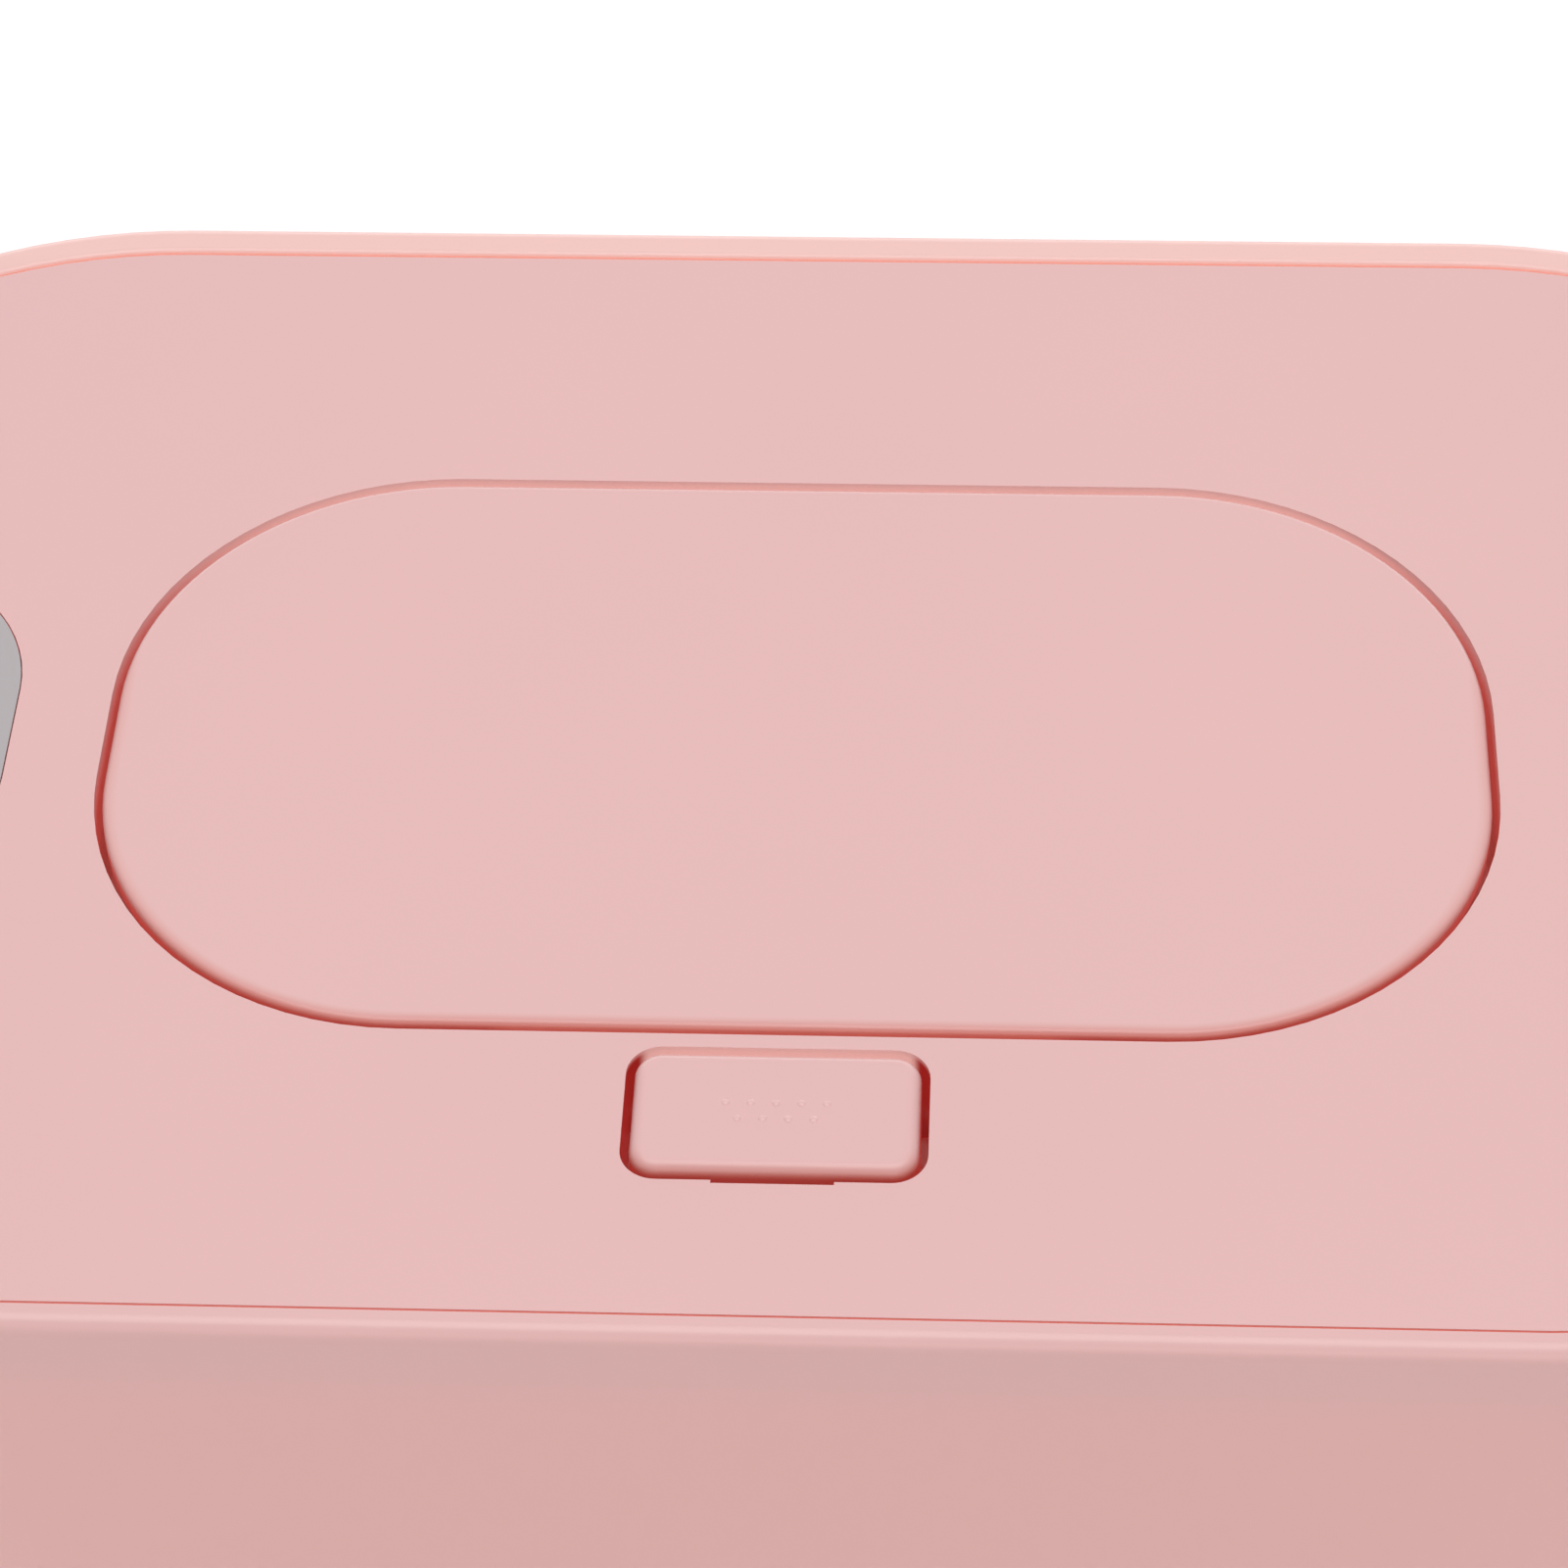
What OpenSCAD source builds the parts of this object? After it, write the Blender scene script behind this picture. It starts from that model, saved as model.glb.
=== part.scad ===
// Baby wipe warmer: a heated tank for a stack of moist wipes, under a deep hinged lid.
// The lid carries a flush flip lid over a soft dispensing slit, and a push button that releases it.
// Millimetres, Z up. The origin is under the middle of the whole object, on the table.

/* [Casing] */
// Overall width, left to right
body_w = 212; // [206:1:250]
// Depth of the casing, front to back, without the hinges
body_d = 131.2; // [128:0.2:160]
// Height of the lid's top face over the table
total_h = 105; // [102:1:130]
// Radius of the four upright corners
corner_r = 47; // [40:0.5:50]
// Thickness of the outer walls
wall = 2.4; // [2:0.1:3]
// Height of the main lid over its parting line
lid_h = 34; // [31:0.5:36]
// Gap at the parting line between lid and body
split_gap = 0.4; // [0.3:0.05:0.8]
// Rounding along the lid's top edge
edge_r = 1.4; // [0.8:0.1:1.5]
// Rounding along the body's bottom edge
foot_edge_r = 5; // [3:0.5:6]

/* [Top panel] */
// Thickness of the inset top panel
panel_t = 2.5; // [2:0.1:3.5]
// Width of the lid's rim beside the panel
rim = 1.5; // [1.5:0.1:2]
// Width of the lid's rim in front of the panel
rim_front = 2.3; // [1.5:0.1:3]
// Width of the lid's rim behind the panel
rim_back = 3.9; // [3:0.1:6]
// Rounding of that rim's edge towards the panel
shoulder_r = 0.6; // [0.3:0.1:0.9]
// Seam between rim and panel at the front and the sides
seam = 0.2; // [0.15:0.05:0.5]
// Seam behind the panel
seam_back = 0.55; // [0.3:0.05:0.8]
// Width of the ledge that carries the panel
ledge_w = 6; // [4:0.5:8]
// Thickness of that ledge
ledge_t = 2.2; // [1.6:0.1:3]

/* [Flip lid] */
// Distance from each side of the casing to the flip lid
pop_side = 48.1; // [46:0.1:54]
// Distance from the casing's front and rear to the flip lid, before it is set forward
pop_ends = 33.6; // [33:0.1:36]
// Half of the straight stretch at each end of the flip lid
pop_flat = 4.8; // [4:0.2:12]
// Thickness of the flip lid
pop_t = 2.4; // [2.2:0.1:2.6]
// Rounding of the flip lid's top edge
pop_edge_r = 0.6; // [0.5:0.05:0.8]
// Gap all round the flip lid
pop_gap = 0.65; // [0.55:0.05:0.8]
// Distance of the flip lid's centre in front of the casing's centre
pop_forward = 2.1; // [1.5:0.1:3]
// Depth of the well under the top face
well_depth = 11.6; // [11:0.1:12.5]
// Thickness of the well's floor and walls
well_t = 1.8; // [1.4:0.1:2.2]
// Distance of the flip lid's hinge axis behind its rear edge
pop_axis_back = 10; // [9.5:0.1:10.5]
// Depth of that axis under the top face
pop_axis_down = 3; // [2.9:0.05:3.2]
// Radius of the flip lid's hinge pin
pop_pin_r = 0.8; // [0.6:0.05:0.9]
// Radius of the ears that hold the pin
pop_ear_r = 1.6; // [1.4:0.05:1.7]
// Radius of the eyes of the flip lid's two arms
pop_eye_r = 1.7; // [1.5:0.05:1.8]
// Distance of each arm from the centre line
arm_x = 20; // [18:0.5:26]
// Width of each arm
arm_w = 5; // [4:0.5:7]
// Thickness of each arm
arm_t = 1.4; // [1.2:0.1:1.5]

/* [Button] */
// Width of the release button
button_w = 22.7; // [18:0.1:26]
// Depth of the release button
button_d = 12.3; // [11:0.1:13]
// Corner radius of the button
button_r = 2.2; // [1.5:0.1:3]
// Gap round the button
button_gap = 0.7; // [0.4:0.05:0.8]
// Height of the button's face over the panel
button_rise = 0.4; // [0.2:0.05:0.8]
// Rounding of the button's top edge
button_edge_r = 1; // [0.6:0.05:1.2]
// Distance from the casing's front to the button's centre
button_front = 22.6; // [21:0.1:23]
// Distance from the button's hole to the two screws of its carrier
carrier_side = 4.35; // [4:0.1:6]
// Length of those screws
carrier_screw_len = 7; // [6:0.5:7.5]
// Travel of the button
press_travel = 1.8; // [1.2:0.1:1.8]
// Travel of the latch slide for a full press
latch_travel = 1.2; // [0.8:0.1:1.2]

/* [Sight window] */
// Width of the sight window
window_w = 32; // [26:0.5:32]
// Length of the sight window, front to back
window_d = 42; // [36:0.5:46]
// Corner radius of the window
window_r = 15.8; // [10:0.2:15.8]
// Distance between the flip lid and the sight window
window_side = 8.7; // [8.2:0.1:10]
// Thickness of the pane
window_t = 2.5; // [2:0.1:3]

/* [Tank] */
// Distance from each side of the casing to the inside of the tank
tank_side = 11; // [8:0.5:14]
// Distance from the casing's front and rear to the inside of the tank
tank_ends = 13.6; // [11.6:0.2:15.6]
// How much smaller the tank's corner radius is than the casing's
tank_corner = 11; // [9:0.5:17]
// Length of the screws through the lid's liner
liner_screw_len = 9; // [8:0.5:9.5]
// Thickness of the tank's walls and floor
tank_t = 2; // [1.6:0.1:2.4]
// Height of the tank floor's underside over the table
tank_z = 18; // [17.5:0.5:20]
// Rounding where the tank's floor meets its walls, inside
tank_floor_r = 8; // [5:0.5:10]
// Height of the tank's sealing lip over its flange
tank_lip_h = 2.2; // [1.6:0.1:2.6]

/* [Hinges] */
// Radius of the main hinge knuckles
hinge_r = 2.4; // [2:0.1:3]
// Radius of the main hinge pins
hinge_pin_r = 1.2; // [0.8:0.05:1.3]
// Clearance between knuckle and rear wall
hinge_gap = 0.2; // [0.2:0.05:0.5]
// Distance of each hinge from the centre line
hinge_x = 38; // [30:1:42]
// Length of each hinge
hinge_w = 30; // [24:1:34]

/* [Heating] */
// Distance from each side of the casing to the heat plate
heat_side = 36; // [34:1:46]
// Distance from the casing's front and rear to the heat plate
heat_ends = 28.6; // [27.6:1:34.6]
// Thickness of the heat plate
heat_t = 1.2; // [0.8:0.1:2]
// Thickness of the heater mat
mat_t = 1.2; // [0.8:0.1:1.6]
// Thickness of the insulation pad
pad_t = 4; // [3:0.5:5]
// Number of runs of the heater's foil
trace_runs = 9; // [5:2:11]
// Width of the circuit board
board_w = 50; // [46:1:60]
// Depth of the circuit board
board_d = 15; // [14.5:0.5:16]
// Length of the board's screws
board_screw_len = 4; // [3:0.5:4.5]

/* [Base] */
// Height of the feet under the casing
foot_h = 2; // [1.5:0.1:4]
// Radius of each foot
foot_r = 8; // [6:0.5:9]
// Thickness of the base plate
base_t = 2; // [1.6:0.1:2.2]
// Radius of the low-voltage inlet's body
jack_r = 5; // [4.5:0.1:5.5]

/* [Hidden] */
$fn = 96;
wire_facets = 6;
hex = 6;
cut = 1;
fit = 0.05;
slip = 0.3;
bond = 0.5;

pink = [0.918, 0.741, 0.733];
white_plastic = [0.95, 0.95, 0.94];
grey_window = [0.72, 0.70, 0.705];
silicone = [0.93, 0.93, 0.92];
steel = [0.72, 0.73, 0.75];
aluminium = [0.80, 0.81, 0.82];
mat_red = [0.62, 0.25, 0.16];
foil = [0.78, 0.52, 0.30];
felt = [0.86, 0.85, 0.80];
board_green = [0.10, 0.36, 0.22];
black_plastic = [0.08, 0.08, 0.09];
led_green = [0.55, 0.85, 0.55];
rubber_grey = [0.28, 0.28, 0.29];

// Levels of the casing
split_z = total_h - lid_h;
shell_top = split_z - split_gap / 2;
lid_bottom = split_z + split_gap / 2;
panel_z = total_h - panel_t;
ledge_z = panel_z - ledge_t;
in_w = body_w - 2 * wall;
in_d = body_d - 2 * wall;
in_r = corner_r - wall;
straight_x = body_w / 2 - corner_r;

// Main hinge axis, and the frame that puts the origin under the middle
hinge_y = body_d / 2 + hinge_gap + hinge_r;
hinge_z = split_z;
hinge_reach = hinge_gap + 2 * hinge_r;
frame_y = -hinge_reach / 2;
hinge_gusset = 8;
leaf_gap = 0.3;
lid_leaf = hinge_w * 0.45;
body_leaf = (hinge_w - lid_leaf) / 2 - leaf_gap;

// Outline of the panel's recess
recess_w = body_w - 2 * rim;
recess_d = body_d - rim_front - rim_back;
recess_r = corner_r - rim;
recess_y = (rim_front - rim_back) / 2;

// Flip lid and well
pop_w = body_w - 2 * pop_side;
pop_d = body_d - 2 * pop_ends;
pop_r = pop_d / 2 - pop_flat;
pop_y = -pop_forward;
hole_w = pop_w + 2 * pop_gap;
hole_d = pop_d + 2 * pop_gap;
hole_r = pop_r + pop_gap;
well_z = total_h - well_depth;
well_bottom = well_z - well_t;
pop_z = total_h - pop_t;
pop_front = pop_y - pop_d / 2;
well_front = pop_y - hole_d / 2;
well_back = pop_y + hole_d / 2;
axis_y = pop_y + pop_d / 2 + pop_axis_back;
axis_z = total_h - pop_axis_down;
ear_w = 2.6;
ear_outer_x = arm_x + arm_w / 2 + slip;
ear_inner_x = arm_x - arm_w / 2 - slip - ear_w;
pin_half = ear_outer_x + ear_w;
groove_r = pop_eye_r + slip;

// Each arm bends round the edge of the lid's hole: this edge stays inside the arm's bend as the lid opens
edge_reach = norm([pop_axis_back - pop_gap, pop_axis_down]);
arm_in = edge_reach + 0.5;
arm_out = arm_in + arm_t;
arm_floor = pop_axis_back - pop_gap + 0.4;

// Dispensing opening
slit_w = 56;
slit_d = 26;
insert_grip = 3;
lip_t = 1.8;
lip_h = 2;
seal_sunk = 0.8;
lip_room = insert_grip + 1 + lip_t;
lip_w = slit_w + 2 * lip_room;
lip_d = slit_d + 2 * lip_room;

// Latch under the button
button_y = button_front - body_d / 2;
key_hole_w = button_w + 2 * button_gap;
key_hole_d = button_d + 2 * button_gap;
key_hole_r = button_r + button_gap;
latch_t = 2.2;
latch_gap = 0.2;
bracket_t = 2;
bracket_z = well_z - slip;
latch_z = bracket_z + bracket_t + latch_gap;
latch_top = latch_z + latch_t;
guide_z = latch_top + latch_gap;
key_z = latch_top + press_travel + latch_gap;
key_top = total_h + button_rise;
key_skin = 1.8;
key_wall = 1.4;
guide_t = 1.4;
leg_x = 6.6;
leg_w = 2.4;
leg_t = 2;
cam_gap = 0.1;
cam_slope = latch_travel / press_travel;
latch_half = 9.2;
latch_front = button_y - button_d / 2 - 1.2;
latch_back = well_front - well_t - slip;
nose_half = 5;
nose_tip = well_front + 0.5;
nose_window = 0.5;
spring_r = 2.2;
spring_wire = 0.25;
boss_x = key_hole_w / 2 + carrier_side;
bracket_half = boss_x + 4;
boss_r = 2.8;
bracket_front = latch_front - latch_travel - 2;
bracket_back = latch_back + slip / 2;
pilot_r = 1.0;

// Lid liner and seal
liner_t = 1.8;
liner_top = well_bottom - slip * 2 - bracket_t * 0.4;
liner_skin = 2;
liner_in_z = liner_top - liner_skin;
seal_z = shell_top + tank_lip_h + slip;
gasket_w = 4;
gasket_t = 1.8;
gasket_rib_w = 1.4;
gasket_rib_h = 1.6;
flange_z = seal_z + gasket_t;
flange_t = 2.6;
liner_top_r = 7;

// Tank, base and heating
tank_w = body_w - 2 * tank_side;
tank_d = body_d - 2 * tank_ends;
tank_r = corner_r - tank_corner;
tank_out_w = tank_w + 2 * tank_t;
tank_out_d = tank_d + 2 * tank_t;
tank_out_r = tank_r + tank_t;
flange_h = 2;
tank_flange_z = shell_top - flange_h;
shelf_w = 2.5;
shelf_h = 3;
base_top = foot_h + base_t;
lip_top = foot_h + base_t + 2;
base_inset = foot_edge_r + 3;
plate_w = body_w - 2 * base_inset;
plate_d = body_d - 2 * base_inset;
plate_r = corner_r - base_inset;
lip_in = 6;
heat_w = body_w - 2 * heat_side;
heat_d = body_d - 2 * heat_ends;
heat_z = tank_z - heat_t;
mat_z = heat_z - mat_t;
trace_t = 0.3;
trace_w = 2.4;
pad_z = mat_z - trace_t - pad_t;
mat_margin = 4;
screw_shank_r = 1.45;
screw_head_r = 2.8;
screw_head_t = 1.6;
screw_len = 11;
screw_boss_r = 3.6;
screw_well_r = 5;
screw_seat = 2.4;
base_screw_x = heat_w / 2 + 12;
base_screw_x2 = heat_w * 0.36;
base_screw_y2 = plate_d / 2 - lip_in - screw_well_r - slip;
foot_x = plate_w / 2 - 24;
foot_y = plate_d / 2 - 15;
foot_sink = 1;

// Screw points: along the base, and under the lid's panel
BASE_SCREWS = [
    [-base_screw_x, 0], [base_screw_x, 0],
    [-base_screw_x2, -base_screw_y2], [base_screw_x2, -base_screw_y2],
    [-base_screw_x2, base_screw_y2], [base_screw_x2, base_screw_y2]
];
liner_head_r = 2.4;
liner_screw_x = tank_w / 2 - 19;
liner_screw_y = tank_d / 2 - 26;
liner_left_y = 16 - tank_d / 2;
liner_right_y = 20 - tank_d / 2;
liner_row_y = tank_d / 2 - liner_top_r - liner_head_r - slip;
liner_rear_x = tank_w / 5;
liner_front_x = tank_w * 0.19;
LINER_SCREWS = [
    [-liner_screw_x, liner_left_y], [liner_screw_x, liner_right_y], [liner_screw_x, liner_screw_y],
    [-liner_rear_x, liner_row_y], [liner_rear_x, liner_row_y],
    [-liner_front_x, -liner_row_y], [liner_front_x, -liner_row_y]
];

// Window
window_x = pop_w / 2 + window_side;
window_cx = -(window_x + window_w / 2);
window_cy = pop_y;
window_gap = 0.12;
window_step = 2;
window_step_t = 1.4;
tube_t = 1.6;
tube_w = tank_w / 2 - liner_top_r - 1 - window_x - window_step;
tube_d = window_d - 8;
tube_r = 6;
tube_cx = -(window_x + window_step + tube_w / 2);

// Latch of the main lid: two tongues inside the front wall
tongue_x = 25;
tongue_w = 9;
tongue_t = 1.6;
tongue_gap = 0.5;
tongue_drop = 6;
tongue_bump = 0.3;
scoop_r = 60;
scoop_depth = 3;
scoop_half = 16;
scoop_back = 2.6;
scoop_down = 7;
scoop_pad_h = 22;
notch_half = tongue_x + tongue_w / 2 + 1.5;
notch_depth = 3.4;

// Board and inlet
board_t = 1.6;
board_y = -(in_d / 2 - 2.2 - board_d / 2);
board_z = lip_top + 1.2;
board_hole_x = board_w / 2 - 4;
board_post_r = 2.6;
plug_x = board_w / 4;
plug_y = board_y + board_d / 2 - 0.4;
small_head_t = 1.2;
board_head_r = 1.9;
carrier_head_r = 2;
lens_r = 2;
lens_z = board_z + board_t + 4.2;
jack_x = 32;
jack_z = lip_top + 7.4;
jack_len = 9;
jack_collar_r = 6.4;
jack_collar_t = 1.2;
jack_nut_t = 2.4;
jack_nut_r = 7.2;
jack_bore_r = 3.1;
jack_bore_len = 8.5;
jack_pin_r = 1.05;
tag_step = 2.6;
tag_len = 2.6;

// Places a piece in the frame whose origin is under the middle of the whole object
module in_frame() {
    translate([0, frame_y, 0]) children();
}

// Rectangle with round corners, centred
module round_rect(w, d, r) {
    square([w - 2 * r, d], center = true);
    square([w, d - 2 * r], center = true);
    for (x = [-1, 1], y = [-1, 1])
        translate([x * (w / 2 - r), y * (d / 2 - r)]) circle(r);
}

// Slot with two round ends, centred
module stadium(w, d) {
    square([w - d, d], center = true);
    for (x = [-1, 1]) translate([x * (w - d) / 2, 0]) circle(d / 2);
}

// Upright slab with round corners between two levels
module slab(w, d, r, z0, z1, y = 0) {
    translate([0, y, z0]) linear_extrude(z1 - z0) round_rect(w, d, r);
}

// Upright ring of a given wall inside such an outline
module ring(w, d, r, t, z0, z1, y = 0) {
    translate([0, y, z0]) linear_extrude(z1 - z0) difference() {
        round_rect(w, d, r);
        round_rect(w - 2 * t, d - 2 * t, r - t);
    }
}

// Upright slot-shaped ring
module slot_ring(w, d, t, z0, z1, y = 0) {
    translate([0, y, z0]) linear_extrude(z1 - z0) difference() {
        stadium(w, d);
        stadium(w - 2 * t, d - 2 * t);
    }
}

// Upright slot-shaped slab
module slot_slab(w, d, z0, z1, y = 0) {
    translate([0, y, z0]) linear_extrude(z1 - z0) stadium(w, d);
}

// Half of a section through a block: its outer corners are rounded below and above
module edge_profile(reach, h, low_r, top_r) {
    difference() {
        square([reach, h]);
        if (low_r > 0) difference() {
            translate([reach - low_r, 0]) square([low_r + cut, low_r]);
            translate([reach - low_r, low_r]) circle(low_r);
        }
        if (top_r > 0) difference() {
            translate([reach - top_r, h - top_r]) square([top_r + cut, top_r + cut]);
            translate([reach - top_r, h - top_r]) circle(top_r);
        }
    }
}

// Block with upright corners of radius r, whose edges follow a given half-section of that reach
module framed_block(w, d, r, h) {
    straight_w = w - 2 * r;
    straight_d = d - 2 * r;
    translate([-straight_w / 2, -straight_d / 2, 0]) cube([straight_w, straight_d, h]);
    for (turn = [0 : 3]) {
        side = turn % 2 == 0 ? straight_d : straight_w;
        reach = turn % 2 == 0 ? straight_w : straight_d;
        rotate(90 * turn) translate([reach / 2, side / 2, 0]) {
            rotate_extrude(angle = 90) children();
            rotate([90, 0, 0]) linear_extrude(side) children();
        }
    }
}

// Such a block with rounded lower and upper edges
module rounded_block(w, d, r, h, low_r, top_r) {
    framed_block(w, d, r, h) edge_profile(r, h, low_r, top_r);
}

// Rod along X between two places
module rod_x(x0, x1, y, z, r) {
    translate([x0, y, z]) rotate([0, 90, 0]) cylinder(r = r, h = x1 - x0);
}

// Rod along Y between two places
module rod_y(x, y0, y1, z, r) {
    translate([x, y1, z]) rotate([90, 0, 0]) cylinder(r = r, h = y1 - y0);
}

// Upright rod between two levels
module rod_z(x, y, z0, z1, r) {
    translate([x, y, z0]) cylinder(r = r, h = z1 - z0);
}

// Flat profile in Y and Z, drawn out along X
module along_x(x0, x1) {
    translate([x0, 0, 0]) rotate([90, 0, 90]) linear_extrude(x1 - x0) children();
}

// Box between two corners
module box(low, high) {
    translate(low) cube(high - low);
}

// Both sides of the centre line
module both_sides() {
    children();
    mirror([1, 0, 0]) children();
}

// Pan-head screw pointing up, head below: shank of length len, cross recess in the head
module screw(shank_r, head_r, head_t, len) {
    difference() {
        union() {
            rotate_extrude() difference() {
                square([head_r, head_t]);
                difference() {
                    translate([head_r - head_t / 2, 0]) square([head_t, head_t / 2]);
                    translate([head_r - head_t / 2, head_t / 2]) circle(head_t / 2);
                }
            }
            translate([0, 0, head_t - bond]) cylinder(r = shank_r, h = len - shank_r + bond);
            translate([0, 0, head_t + len - shank_r]) cylinder(r1 = shank_r, r2 = shank_r / 3, h = shank_r);
        }
        for (turn = [0, 90]) rotate(turn)
            translate([-head_r * 0.55, -head_r * 0.1, -cut])
                cube([head_r * 1.1, head_r * 0.2, cut + head_t * 0.55]);
    }
}

// Unit vector
function unit(v) = v / norm(v);

// Direction of a path at one of its points
function heading(path, i) = unit(path[min(i + 1, len(path) - 1)] - path[max(i - 1, 0)]);

// Round wire swept along a path; side is a direction that the path never takes
module wire(path, r, side) {
    count = len(path);
    points = [
        for (i = [0 : count - 1], k = [0 : wire_facets - 1])
            let (t = heading(path, i), u = unit(cross(t, side)), v = cross(t, u), a = 360 * k / wire_facets)
                path[i] + r * (cos(a) * u + sin(a) * v)
    ];
    faces = concat(
        [for (i = [0 : count - 2], k = [0 : wire_facets - 1])
            let (n = (k + 1) % wire_facets, a = i * wire_facets, b = a + wire_facets)
                [a + k, b + k, b + n]],
        [for (i = [0 : count - 2], k = [0 : wire_facets - 1])
            let (n = (k + 1) % wire_facets, a = i * wire_facets, b = a + wire_facets)
                [a + k, b + n, a + n]],
        [for (k = [1 : wire_facets - 2]) [0, k, k + 1]],
        [for (k = [1 : wire_facets - 2])
            let (e = (count - 1) * wire_facets) [e, e + k + 1, e + k]]
    );
    polyhedron(points, faces);
}

// Smooth route through hand-placed points
function blend(a, b, c, d, t) =
    0.5 * (2 * b + (c - a) * t + (2 * a - 5 * b + 4 * c - d) * t * t + (3 * b - a - 3 * c + d) * t * t * t);
function route(stops, steps) = concat(
    [for (i = [0 : len(stops) - 2], s = [0 : steps - 1])
        blend(stops[max(i - 1, 0)], stops[i], stops[i + 1], stops[min(i + 2, len(stops) - 1)], s / steps)],
    [stops[len(stops) - 1]]
);

// Knuckle of the main hinge with the web to its wall; up is 1 on the lid and -1 on the body
module hinge_knuckle(x0, x1, up) {
    along_x(x0, x1) translate([hinge_y, hinge_z]) {
        circle(hinge_r);
        polygon([
            [-hinge_gap - hinge_r - wall / 2, up * split_gap / 2],
            [hinge_r * 0.92, up * split_gap / 2],
            [-hinge_gap - hinge_r - wall / 2, up * hinge_gusset]
        ]);
    }
}

// Outer casing: walls, ledge for the tank, hinge knuckles, finger scoop
module body_shell() {
    color(pink) in_frame() difference() {
        union() {
            difference() {
                translate([0, 0, foot_h])
                    rounded_block(body_w, body_d, corner_r, shell_top - foot_h, foot_edge_r, 0);
                slab(in_w, in_d, in_r, lip_top, shell_top + cut);
            }
            difference() {
                ring(in_w + wall, in_d + wall, in_r + wall / 2, shelf_w + wall / 2,
                    tank_flange_z - shelf_h, tank_flange_z);
                both_sides() box(
                    [tongue_x - tongue_w / 2 - 1, -in_d / 2 - bond, tank_flange_z - shelf_h - cut],
                    [tongue_x + tongue_w / 2 + 1, -in_d / 2 + notch_depth, tank_flange_z + cut]);
            }
            box([-scoop_half, -in_d / 2 - bond, split_z - scoop_pad_h],
                [scoop_half, -in_d / 2 + scoop_back, shell_top]);
            shell_ribs();
            both_sides() {
                hinge_knuckle(hinge_x - hinge_w / 2, hinge_x - hinge_w / 2 + body_leaf, -1);
                hinge_knuckle(hinge_x + hinge_w / 2 - body_leaf, hinge_x + hinge_w / 2, -1);
            }
        }
        slab(plate_w, plate_d, plate_r, foot_h - cut, base_top);
        slab(plate_w - 2 * lip_in, plate_d - 2 * lip_in, plate_r - lip_in, foot_h - cut, lip_top + cut);
        translate([0, -body_d / 2 - scoop_r + scoop_depth, split_z - scoop_down]) sphere(scoop_r);
        both_sides() rod_x(hinge_x - hinge_w / 2 - cut, hinge_x + hinge_w / 2 + cut,
            hinge_y, hinge_z, hinge_pin_r + fit);
        rod_y(jack_x, in_d / 2 - jack_nut_t - cut, body_d / 2 + cut, jack_z, jack_r + fit);
        rod_y(0, -body_d / 2 - cut, -in_d / 2 + cut, lens_z, lens_r + fit);
    }
}

// Upright ribs that stiffen the casing's long walls under the ledge
module shell_ribs() {
    rib_t = 1.6;
    rib_y = in_d / 2 - shelf_w;
    both_sides() for (turn = [0, 1]) mirror([0, turn, 0])
        box([straight_x - rib_t / 2, rib_y, lip_top - bond],
            [straight_x + rib_t / 2, in_d / 2 + bond, tank_flange_z - shelf_h / 2]);
}

// Bottom cover, flush in the casing's underside
module base_plate() {
    rib_t = 1.6;
    color(pink) in_frame() difference() {
        union() {
            slab(plate_w - 2 * slip, plate_d - 2 * slip, plate_r - slip, foot_h, base_top);
            for (p = BASE_SCREWS) rod_z(p[0], p[1], foot_h, base_top + screw_seat, screw_well_r);
            for (y = [-1, 1] * heat_d * 0.27)
                box([-heat_w / 2, y - rib_t / 2, base_top - bond], [heat_w / 2, y + rib_t / 2, pad_z]);
            for (x = [-1, 0, 1] * heat_w * 0.36)
                box([x - rib_t / 2, -heat_d * 0.4, base_top - bond], [x + rib_t / 2, heat_d * 0.4, pad_z]);
            both_sides() rod_z(board_hole_x, board_post_y(), foot_h + bond, board_z, board_post_r);
        }
        for (p = BASE_SCREWS) {
            rod_z(p[0], p[1], foot_h - cut, base_top + screw_seat - screw_seat / 2, screw_head_r + 0.4);
            rod_z(p[0], p[1], foot_h - cut, base_top + screw_seat + cut, screw_shank_r + 0.2);
        }
        for (x = [-1, 1], y = [-1, 1])
            rod_z(x * foot_x, y * foot_y, foot_h - cut, foot_h + foot_sink, foot_r + fit);
        both_sides() rod_z(board_hole_x, board_post_y(), base_top, board_z + cut, pilot_r - 0.1);
    }
}

// The board's posts stand on the base plate, inside the casing's lower lip
function board_post_y() = lip_in + board_post_r + slip + fit - plate_d / 2;

// Four pads that the warmer stands on
module rubber_feet() {
    color(rubber_grey) in_frame() for (x = [-1, 1], y = [-1, 1])
        translate([x * foot_x, y * foot_y, 0]) rotate_extrude()
            edge_profile(foot_r, foot_h + foot_sink, foot_h / 2, 0);
}

// Screws through the base plate into the tank's bosses
module base_screws() {
    color(steel) in_frame() for (p = BASE_SCREWS)
        translate([p[0], p[1], base_top + screw_seat / 2 - screw_head_t])
            screw(screw_shank_r, screw_head_r, screw_head_t, screw_len);
}

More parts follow.
